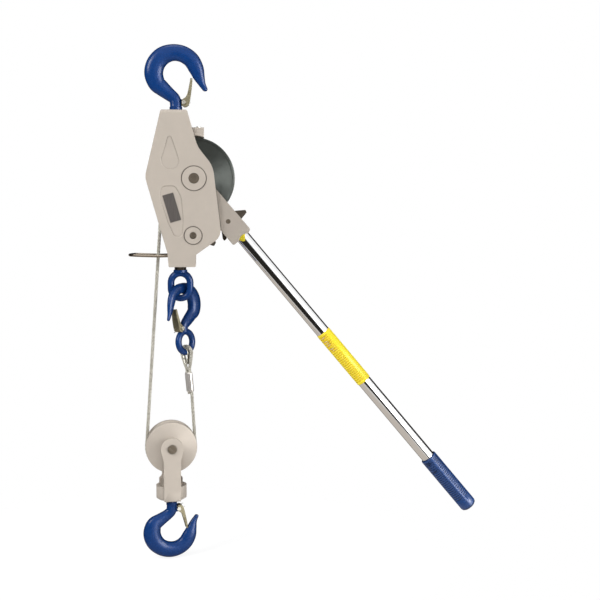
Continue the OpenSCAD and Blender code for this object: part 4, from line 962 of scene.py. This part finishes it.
def run_tree(tree, curve, values, name):
    """Runs a tree on an object and keeps the result as a plain mesh object."""
    modifier = curve.modifiers.new("build", "NODES")
    modifier.node_group = tree
    ids = {s.name: s.identifier for s in tree.interface.items_tree if s.in_out == "INPUT"}
    for key, value in values.items():
        modifier[ids[key]] = value
    graph = bpy.context.evaluated_depsgraph_get()
    built = curve.evaluated_get(graph)
    mesh = bpy.data.meshes.new_from_object(built, preserve_all_data_layers=True, depsgraph=graph)
    obj = linked(name, mesh)
    bpy.data.objects.remove(curve)
    round_off(mesh, 60)
    return obj


def line_object(name, points):
    """A poly curve through points in millimetres."""
    data = bpy.data.curves.new(name, "CURVE")
    data.dimensions = "3D"
    data.twist_mode = "MINIMUM"
    spline = data.splines.new("POLY")
    spline.points.add(len(points) - 1)
    for target, p in zip(spline.points, points):
        target.co = (p[0] * MM, p[1] * MM, p[2] * MM, 1.0)
    return linked(name, data)


# The winding's radius, the gap between its turns, the bend where it enters the spool, the inner face of the
# ratchet wheels, the room that the last turn leaves at its wheel, and the points in a turn and in the wrap
WIND_R = 51.0
WIND_GAP = 0.5
WIND_BEND = 6.0
WHEEL_IN = 18.0
LAST_TURN_GAP = 1.8
WIND_POINTS = 72
WRAP_POINTS = 60


def rope_routes():
    """Centre lines of the rope from its anchor on the drum to the ferrule, in millimetres."""
    rope = sizes().rope / MM
    first_y = WHEEL_IN - rope - WIND_BEND
    last_y = -(WHEEL_IN - rope / 2 - LAST_TURN_GAP)
    turns = (first_y - last_y) / (rope + WIND_GAP)
    to_pulley = PULLEY - DRUM
    lean = math.acos((WIND_R - PULLEY_PITCH) / to_pulley.length)
    leave = math.degrees(math.atan2(to_pulley.z, to_pulley.x)) + 360 - math.degrees(lean)

    def on_drum(degrees, y):
        return DRUM + round_point(WIND_R, degrees, y)

    def before_winding(s, y):
        """A point s millimetres on from where the winding starts. A negative s lies before it."""
        return on_drum(leave - 360 * turns + math.degrees(s / WIND_R), y)

    def on_pulley(degrees):
        return to_block(round_point(PULLEY_PITCH, degrees))

    start, meet = on_drum(leave, last_y), on_pulley(leave)
    down = (meet - start).normalized()
    winding = [before_winding(-WIND_BEND, WHEEL_IN), before_winding(-WIND_BEND, WHEEL_IN - rope / 2)]
    for degrees in range(0, 90, 10):
        bend = round_point(WIND_BEND, degrees)
        winding.append(before_winding(-bend.x, WHEEL_IN - rope - bend.z))
    rings = math.ceil(turns * WIND_POINTS)
    for i in range(rings + 1):
        share = i / rings
        winding.append(on_drum(leave - 360 * turns * (1 - share), first_y + (last_y - first_y) * share))
    winding += [start + down * rope / 2, start + down * rope]
    left = [start + down * rope, meet]
    wrap = 360 - LEAD - leave
    arc = [on_pulley(leave + wrap * i / WRAP_POINTS) for i in range(WRAP_POINTS + 1)]
    return winding, left, arc, on_pulley(-LEAD)


# The end hook's eye as the rope meets it: its bar, the thimble's gap and wall, the rope's play round the
# thimble, and how much wider than round the rope's eye is
EYE_BAR = 4.5
THIMBLE_GAP = 1.0
THIMBLE_WALL = 1.4
ROPE_PLAY = 0.2
CROWN_SWELL = 1.2

# Length of the rope's eye down to the ferrule, each rope's gap to the ferrule's middle line, the ferrule's
# length, and the length of the rope's stub below it
THROAT_L = 35.0
PAIR_GAP = 0.15
FERRULE_L = 33.0
STUB_L = 4.0


def from_eye(point):
    """From the frame of the rope's eye, in the ferrule's plane, to the row frame."""
    return place_on_line(turned_by(END_HOOK_YAW - 90, "Z") @ Vector(point))


def eye_heights():
    """Heights of the eye's lowest point, the ferrule's top and its foot."""
    eye_low = eye_centre() - sizes().end_bowl / MM - EYE_PITCH
    ferrule_top = eye_low - THROAT_L
    return eye_low, ferrule_top, ferrule_top - FERRULE_L


def eye_route(half):
    """Centre line of the rope's eye, up one side of the throat, round the thimble and down the other."""
    eye_low, ferrule_top, _ = eye_heights()
    loop_r = EYE_BAR + THIMBLE_GAP + THIMBLE_WALL + sizes().rope / MM / 2 + ROPE_PLAY
    swell = [half + (loop_r - half) * 0.6, 0, ferrule_top + (eye_low - ferrule_top) * 0.52]
    arm = [[half, 0, ferrule_top], [half, 0, ferrule_top + 3], [half, 0, ferrule_top + 6], swell]
    crown = []
    for degrees in range(-10, 191, 25):
        a = math.radians(degrees)
        crown.append([(loop_r + CROWN_SWELL) * math.cos(a), 0, eye_low + loop_r * math.sin(a)])
    other_arm = [[-x, y, z] for x, y, z in reversed(arm)]
    return [from_eye(p) for p in smooth(arm + crown + other_arm, 6)]


def swaged_ferrule():
    """The swaged sleeve, an oval tube with its ends drawn in."""
    ferrule_top = eye_heights()[1]
    # [depth from the end, half width]
    end = [[0.0, 5.9], [0.7, 6.5], [1.8, 6.8], [4.0, 6.9]]
    stations = end + [[FERRULE_L - depth, half] for depth, half in reversed(end)]
    wide = [half for depth, half in stations]
    path = [from_eye((0, 0, ferrule_top - depth)) for depth, half in stations]
    side = from_eye((1, 0, 0)) - from_eye((0, 0, 0))
    bm = bmesh.new()
    skin(bm, path, [side] * len(path), wide, [half - 2.2 for half in wide], 40, 0.8)
    return finish_mesh(bm, "ferrule_swaged", "sleeve")


class WINCH_OT_rope(bpy.types.Operator):
    """Lay the wire rope on the drum, over the pulley and up to its eye"""
    bl_idname = "winch.rope"
    bl_label = "Wire rope"

    def execute(self, context):
        tree = laid_rope_tree()
        values = {"Diameter": sizes().rope, "Lay": sizes().lay, "Step": sizes().ring_step,
                  "Strands": sizes().strands, "Finish": finish_for("wire")}

        def laid(name, points):
            return run_tree(tree, line_object(name + "_line", points), values, name)

        winding, left, arc, right_end = rope_routes()
        stand_for(laid("drum_winding", winding), "drum", "rope_steel", "rope_winding")
        stand_for(laid("pulley_wrap", arc), "block", "rope_steel", "rope_on_sheave")
        half = sizes().rope / MM / 2 + PAIR_GAP
        foot = eye_heights()[2]
        stand_for(laid("rope_eye_laid", eye_route(half)), "end_hook_body", "rope_steel", "rope_eye")
        # The rope's cut end shows as a stub under the ferrule
        tail = laid("rope_tail_laid", [from_eye((half, 0, foot)), from_eye((half, 0, foot - STUB_L))])
        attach(tail, "end_hook_body")
        right = [from_eye((-half, 0, foot)), right_end]
        for name, ends, node in (("left_strand_laid", left, "strand_left"),
                                 ("right_strand_laid", right, "strand_right")):
            strand = laid(name, ends)
            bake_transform(strand)
            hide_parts(node)
        stand_for(swaged_ferrule(), "end_hook_body", "zinc", "ferrule")
        paint("core", "rope_lower_layers")
        paint("zinc", "thimble")
        return {"FINISHED"}


# ---------------------------------------------------------------- other pieces

class WINCH_OT_castings(bpy.types.Operator):
    """Coat the frame, the yoke and the spool, and blacken the name plate"""
    bl_idname = "winch.castings"
    bl_label = "Castings"

    def execute(self, context):
        paint("casting", "frame_front", "frame_rear", "spool")
        paint("yoke", "yoke_front", "yoke_rear", "tube_socket")
        paint("plate", "name_plate")
        return {"FINISHED"}


class WINCH_OT_latches(bpy.types.Operator):
    """Press the latches and plate them, their pins and their springs"""
    bl_idname = "winch.latches"
    bl_label = "Latches"

    def execute(self, context):
        for hook in ("top", "end", "block"):
            paint("zinc", hook + "_latch_pin", hook + "_latch_spring")
        pressed_latch("top_latch", sizes().bowl / MM, to_top, "top_latch_body")
        pressed_latch("end_latch", sizes().end_bowl / MM, to_end, "end_latch_body", -0.12)
        pressed_latch("block_latch", sizes().block_bowl / MM, to_block_hook, "block_latch_body", 0.12)
        return {"FINISHED"}


class WINCH_OT_drum(bpy.types.Operator):
    """Finish the discs, the ratchet wheels, the axle and the bush"""
    bl_idname = "winch.drum"
    bl_label = "Drum"

    def execute(self, context):
        paint("turned", "disc_front", "disc_rear", "ratchet_front", "ratchet_rear")
        paint("zinc", "drum_rivets", "drum_axle")
        paint("bronze", "drum_bush")
        return {"FINISHED"}


# The pulley's cheek as [radius, half width], from the bore past the hub and the flat face to the groove's lip
CHEEK = [[8.55, 21.0], [12.5, 21.0], [13.5, 15.0], [17.0, 13.4], [41.4, 13.4], [42.6, 13.0], [43.3, 12.0],
         [43.3, 6.2], [42.2, 4.6]]
GROOVE_PLAY = 0.3


class WINCH_OT_pulley(bpy.types.Operator):
    """Turn the pulley and finish it, its bush and its pin"""
    bl_idname = "winch.pulley"
    bl_label = "Pulley"

    def execute(self, context):
        groove_r = sizes().rope / MM / 2 + GROOVE_PLAY
        groove = []
        for degrees in range(75, -76, -15):
            p = round_point(groove_r, degrees)
            groove.append([PULLEY_PITCH - p.x, p.z])
        profile = CHEEK + groove + [[r, -y] for r, y in reversed(CHEEK)]
        bm = bmesh.new()
        turned_ring(bm, to_block, profile)
        stand_for(finish_mesh(bm, "sheave_turned", "pulley", 30.0), "sheave_body", "cast_grey", "sheave")
        paint("bronze", "sheave_bush")
        paint("screw", "sheave_pin")
        return {"FINISHED"}


class WINCH_OT_block(bpy.types.Operator):
    """Draw up the cup under the block's arms, and coat them"""
    bl_idname = "winch.block"
    bl_label = "Block"

    def execute(self, context):
        # Depths under the pulley's axis: where the drawing up starts, and the cup's foot before and after it
        bend, foot, shown_foot = 72.0, 96.0, 89.5
        share = (shown_foot - bend) / (foot - bend)
        bend_z = (PULLEY.z - bend) * MM
        bm = merged_copy("block_yoke")
        cut_across(bm, Vector((0, 0, bend_z)), Vector((0, 0, 1)))
        for vert in bm.verts:
            if vert.co.z < bend_z:
                vert.co.z = bend_z + (vert.co.z - bend_z) * share
        stand_for(finish_mesh(bm, "block_casting", "block", 30.0), "block", "cast_grey", "block_yoke")
        return {"FINISHED"}


class WINCH_OT_pawls(bpy.types.Operator):
    """Finish the pawls, the release bail, their shafts and their springs"""
    bl_idname = "winch.pawls"
    bl_label = "Pawls"

    def execute(self, context):
        paint("oxide", "holding_pawl", "drive_pawl")
        paint("screw", "drive_pawl_pin")
        paint("bail", "release_bail")
        paint("zinc", "holding_pawl_spring", "drive_pawl_spring", "pawl_shaft")
        return {"FINISHED"}


# The yellow mark, along the handle from the drum's axle: where it starts to narrow, over what length, and the
# cuts across it that let it bend
MARK_START = 121.0
MARK_TAPER = 12.0
MARK_CUTS = 6
MARK_CUT_STEP = 1.8


def drawn_to_point(s, degrees):
    """Where a point of the yellow mark goes round the tube, so that the mark narrows to a point down it."""
    taper = min(1.0, max(0.0, (s - MARK_START) / MARK_TAPER))
    at_root = -22 + degrees * 0.76
    at_point = -12 + degrees * 0.06
    return (1 - taper) * at_root + taper * at_point


def slimmed(node, finish, slot, share, pointed=False):
    """Stands a copy in for a round piece of the handle, narrowed about the handle's middle line."""
    along, across = handle_directions()
    front = Vector((0, -1, 0))
    start = DRUM * MM
    bm = merged_copy(node)
    if pointed:
        for k in range(1, MARK_CUTS + 1):
            cut_across(bm, start + along * (MARK_START + MARK_CUT_STEP * k) * MM, along)
    for vert in bm.verts:
        arm = vert.co - start
        s, side, out = arm.dot(along), arm.dot(across), arm.dot(front)
        radius = math.hypot(side, out) * share
        degrees = math.degrees(math.atan2(side, out))
        if pointed:
            degrees = drawn_to_point(s / MM, degrees)
        a = math.radians(degrees)
        vert.co = start + along * s + (across * math.sin(a) + front * math.cos(a)) * radius
    stand_for(finish_mesh(bm, node + "_slim", finish, 35.0), "handle", slot, node)


class WINCH_OT_handle(bpy.types.Operator):
    """Slim and finish the tube, the sleeve, the mark and the grip, and finish the yoke's rivets"""
    bl_idname = "winch.handle"
    bl_label = "Handle"

    def execute(self, context):
        slimmed("handle_tube", "chrome", "chrome", TUBE_SHARE)
        slimmed("hold_sleeve", "yellow", "yellow", SLEEVE_SHARE)
        slimmed("root_patch", "mark", "yellow", TUBE_SHARE, pointed=True)
        slimmed("grip", "grip", "grip_blue", GRIP_SHARE)
        paint("yoke", "yoke_rivets")
        return {"FINISHED"}


class WINCH_OT_fasteners(bpy.types.Operator):
    """Finish the screws and the nuts"""
    bl_idname = "winch.fasteners"
    bl_label = "Screws and nuts"

    def execute(self, context):
        paint("screw", "axle_screws", "pawl_shaft_screws")
        paint("oxide", "frame_screws", "top_hook_nut", "ring_nut", "ring_washer", "block_hook_nut")
        paint("zinc", "rim_guard_screw")
        return {"FINISHED"}


# ---------------------------------------------------------------- studio

WHITE = (1.0, 1.0, 1.0, 1.0)

# Lamps as name, place, side and power, in metres and watts, and the point that they face
LAMPS = (
    ("key_box", (-1.5, -1.3, 0.8), 0.9, 34.0),
    ("side_box", (1.8, -0.9, -0.15), 0.6, 14.0),
    ("top_box", (0.0, -0.4, 2.0), 1.0, 10.0),
)
LAMPS_FACE = Vector((0.1, 0.0, -0.4))

# The camera's target, distance, azimuth and elevation, lens and sensor width
CAMERA_TARGET = Vector((0.2066, 0.0, -0.398))
CAMERA_DISTANCE = 1.87
CAMERA_AZIMUTH = -5.0
CAMERA_ELEVATION = 5.0
CAMERA_LENS = 66.0
CAMERA_SENSOR = 36.0


def pale_floor(low):
    """White to the camera and matt to light, and faded out away from the winch's foot."""
    fade_start, fade_end, glow_share, glow_power = 0.15, 0.5, 0.72, 1.16
    material = bpy.data.materials.new("pale_floor")
    material.use_nodes = True
    tree = material.node_tree
    tree.nodes.clear()
    ray = add(tree, "ShaderNodeLightPath").outputs
    matt = add(tree, "ShaderNodeBsdfDiffuse", {"Color": (0.8, 0.8, 0.8, 1.0)})
    glow = add(tree, "ShaderNodeEmission", {"Color": WHITE, "Strength": glow_power})
    clear = add(tree, "ShaderNodeBsdfTransparent")
    lit = add(tree, "ShaderNodeMixShader", {"Fac": glow_share, 1: matt, 2: glow})
    spot = add(tree, "ShaderNodeTexCoord").outputs["Object"]
    away = add(tree, "ShaderNodeVectorMath", {0: spot, 1: (PULLEY.x * MM, 0.0, low)}, operation="DISTANCE")
    fade = add(tree, "ShaderNodeMapRange", {"Value": away, "From Min": fade_start, "From Max": fade_end},
               interpolation_type="SMOOTHSTEP")
    shown = add(tree, "ShaderNodeMixShader", {"Fac": fade, 1: lit, 2: clear})
    # Polished metal looks through the floor at the studio's bands, and a lowered block stays in the light
    through = add(tree, "ShaderNodeMath", {0: ray["Is Glossy Ray"], 1: ray["Is Shadow Ray"]},
                  operation="MAXIMUM")
    hidden = add(tree, "ShaderNodeMixShader", {"Fac": through, 1: matt, 2: clear})
    seen = add(tree, "ShaderNodeMath", {0: ray["Is Camera Ray"], 1: ray["Is Transmission Ray"]},
               operation="MAXIMUM")
    surface = add(tree, "ShaderNodeMixShader", {"Fac": seen, 1: hidden, 2: shown})
    add(tree, "ShaderNodeOutputMaterial", {"Surface": surface})
    return material


def studio_floor():
    """A floor just under the winch."""
    low, reach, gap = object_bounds()[0].z, 12.0, 0.001
    mesh = bpy.data.meshes.new("studio_floor")
    corners = [(x * reach, y * reach, low - gap) for x, y in ((-1, -1), (1, -1), (1, 1), (-1, 1))]
    mesh.from_pydata(corners, [], [(0, 1, 2, 3)])
    mesh.materials.append(pale_floor(low))
    linked("studio_floor", mesh)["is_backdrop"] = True


def studio_world():
    """An even pale room, white to the camera, in which polished metal sees bands and a window."""
    world = bpy.data.worlds.new("studio")
    world.use_nodes = True
    tree = world.node_tree
    tree.nodes.clear()
    way = add(tree, "ShaderNodeTexCoord").outputs["Generated"]

    def lean(direction):
        """How far a ray leans towards a direction, from -1 to 1."""
        return add(tree, "ShaderNodeVectorMath", {0: way, 1: direction}, operation="DOT_PRODUCT")

    def past(value, edge, soft):
        """0 below the edge and 1 above it."""
        ramp = {"Value": value, "From Min": edge - soft, "From Max": edge + soft}
        return add(tree, "ShaderNodeMapRange", ramp, interpolation_type="SMOOTHSTEP")

    def over(below, share, colour):
        """A colour laid over the one below it."""
        return add(tree, "ShaderNodeMix", {"Factor": share, "A": below, "B": colour}, data_type="RGBA")

    # The bands run round the line of the handle: turn is 0 at the camera, 90 above the handle and -90 below
    # it. A dark gap, which starts higher the further down the handle a ray leans, lies between a white tent
    # above and beige card below.
    gap_slope, gap_start = 295.0, -95.0
    along, across = handle_directions()
    down_handle = lean(along)
    above_handle = lean(across)
    to_camera = lean((0.0, -1.0, 0.0))
    angle = add(tree, "ShaderNodeMath", {0: above_handle, 1: to_camera}, operation="ARCTAN2")
    turn = add(tree, "ShaderNodeMath", {0: angle, 1: 180 / math.pi}, operation="MULTIPLY")
    gap_low = add(tree, "ShaderNodeMath", {0: down_handle, 1: gap_slope, 2: gap_start},
                  operation="MULTIPLY_ADD")
    above_gap = add(tree, "ShaderNodeMath", {0: turn, 1: gap_low}, operation="SUBTRACT")
    beige = add(tree, "ShaderNodeCombineColor", {"Red": 0.64, "Green": 0.575, "Blue": 0.51})
    bands = over(linear("#7C756D"), past(turn, -135.0, 12.0), beige)
    bands = over(bands, past(above_gap, -12.0, 4.0), (0.82, 0.79, 0.75, 1.0))
    bands = over(bands, past(above_gap, 0.0, 4.0), linear("#2A2825"))
    bands = over(bands, past(turn, 5.0, 2.5), (1.15, 1.15, 1.15, 1.0))
    bands = over(bands, past(turn, 101.0, 3.0), linear("#23211F"))
    # A soft window at the right gives turned and enamelled faces their highlight
    window = lean(Vector((0.7, -0.7, 0.1)).normalized())
    bands = over(bands, past(window, 0.96, 0.03), (13.0, 13.0, 13.0, 1.0))
    ray = add(tree, "ShaderNodeLightPath").outputs
    room = over((0.52, 0.52, 0.53, 1.0), ray["Is Glossy Ray"], bands)
    straight = add(tree, "ShaderNodeMath", {0: ray["Is Camera Ray"], 1: ray["Is Transmission Ray"]},
                   operation="MAXIMUM")
    light = add(tree, "ShaderNodeBackground", {"Color": over(room, straight, WHITE), "Strength": 1.0})
    add(tree, "ShaderNodeOutputWorld", {"Surface": light})
    return world


def soft_lamp(name, place, side, power):
    """A square lamp that faces the middle of the winch."""
    lamp = bpy.data.lights.new(name, "AREA")
    lamp.shape = "SQUARE"
    lamp.size = side
    lamp.energy = power
    box = linked(name, lamp)
    box.location = place
    box.rotation_euler = (LAMPS_FACE - box.location).to_track_quat("-Z", "Y").to_euler()


def studio_camera():
    """The camera, which looks at the winch's middle from slightly above and to the left."""
    azimuth, elevation = math.radians(CAMERA_AZIMUTH), math.radians(CAMERA_ELEVATION)
    back = Vector((math.sin(azimuth) * math.cos(elevation), -math.cos(azimuth) * math.cos(elevation),
                   math.sin(elevation)))
    data = bpy.data.cameras.new("studio_camera")
    data.lens = CAMERA_LENS
    data.sensor_width = CAMERA_SENSOR
    data.clip_end = 60.0
    camera = linked("studio_camera", data)
    camera.location = CAMERA_TARGET + back * CAMERA_DISTANCE
    camera.rotation_euler = back.to_track_quat("Z", "Y").to_euler()
    return camera


class WINCH_OT_stage(bpy.types.Operator):
    """Set the floor, the soft lamps, the white surround and the camera"""
    bl_idname = "winch.stage"
    bl_label = "Studio"

    def execute(self, context):
        studio_floor()
        context.scene.world = studio_world()
        for name, place, side, power in LAMPS:
            soft_lamp(name, place, side, power)
        context.scene.camera = studio_camera()
        context.scene.view_settings.view_transform = "Standard"
        return {"FINISHED"}


class WINCH_PT_panel(bpy.types.Panel):
    """Lists the pieces of the winch"""
    bl_label = "Come along winch"
    bl_space_type = "VIEW_3D"
    bl_region_type = "UI"
    bl_category = "Winch"

    def draw(self, context):
        layout = self.layout
        for operator in OPERATORS:
            layout.operator(operator.bl_idname)
        for group in (context.scene.winch_sizes, context.scene.winch_colours):
            for name in group.__annotations__:
                layout.prop(group, name)


OPERATORS = (
    WINCH_OT_castings, WINCH_OT_hooks, WINCH_OT_latches, WINCH_OT_drum, WINCH_OT_rope, WINCH_OT_pulley,
    WINCH_OT_block, WINCH_OT_pawls, WINCH_OT_handle, WINCH_OT_fasteners, WINCH_OT_stage)
CLASSES = (WinchColours, WinchSizes, *OPERATORS, WINCH_PT_panel)


def register():
    for cls in CLASSES:
        bpy.utils.register_class(cls)
    bpy.types.Scene.winch_colours = bpy.props.PointerProperty(type=WinchColours)
    bpy.types.Scene.winch_sizes = bpy.props.PointerProperty(type=WinchSizes)


def unregister():
    del bpy.types.Scene.winch_sizes
    del bpy.types.Scene.winch_colours
    for cls in reversed(CLASSES):
        bpy.utils.unregister_class(cls)


def main():
    """Builds every piece."""
    register()
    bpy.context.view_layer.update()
    for operator in OPERATORS:
        group, name = operator.bl_idname.split(".")
        getattr(getattr(bpy.ops, group), name)()


if __name__ == "__main__":
    main()
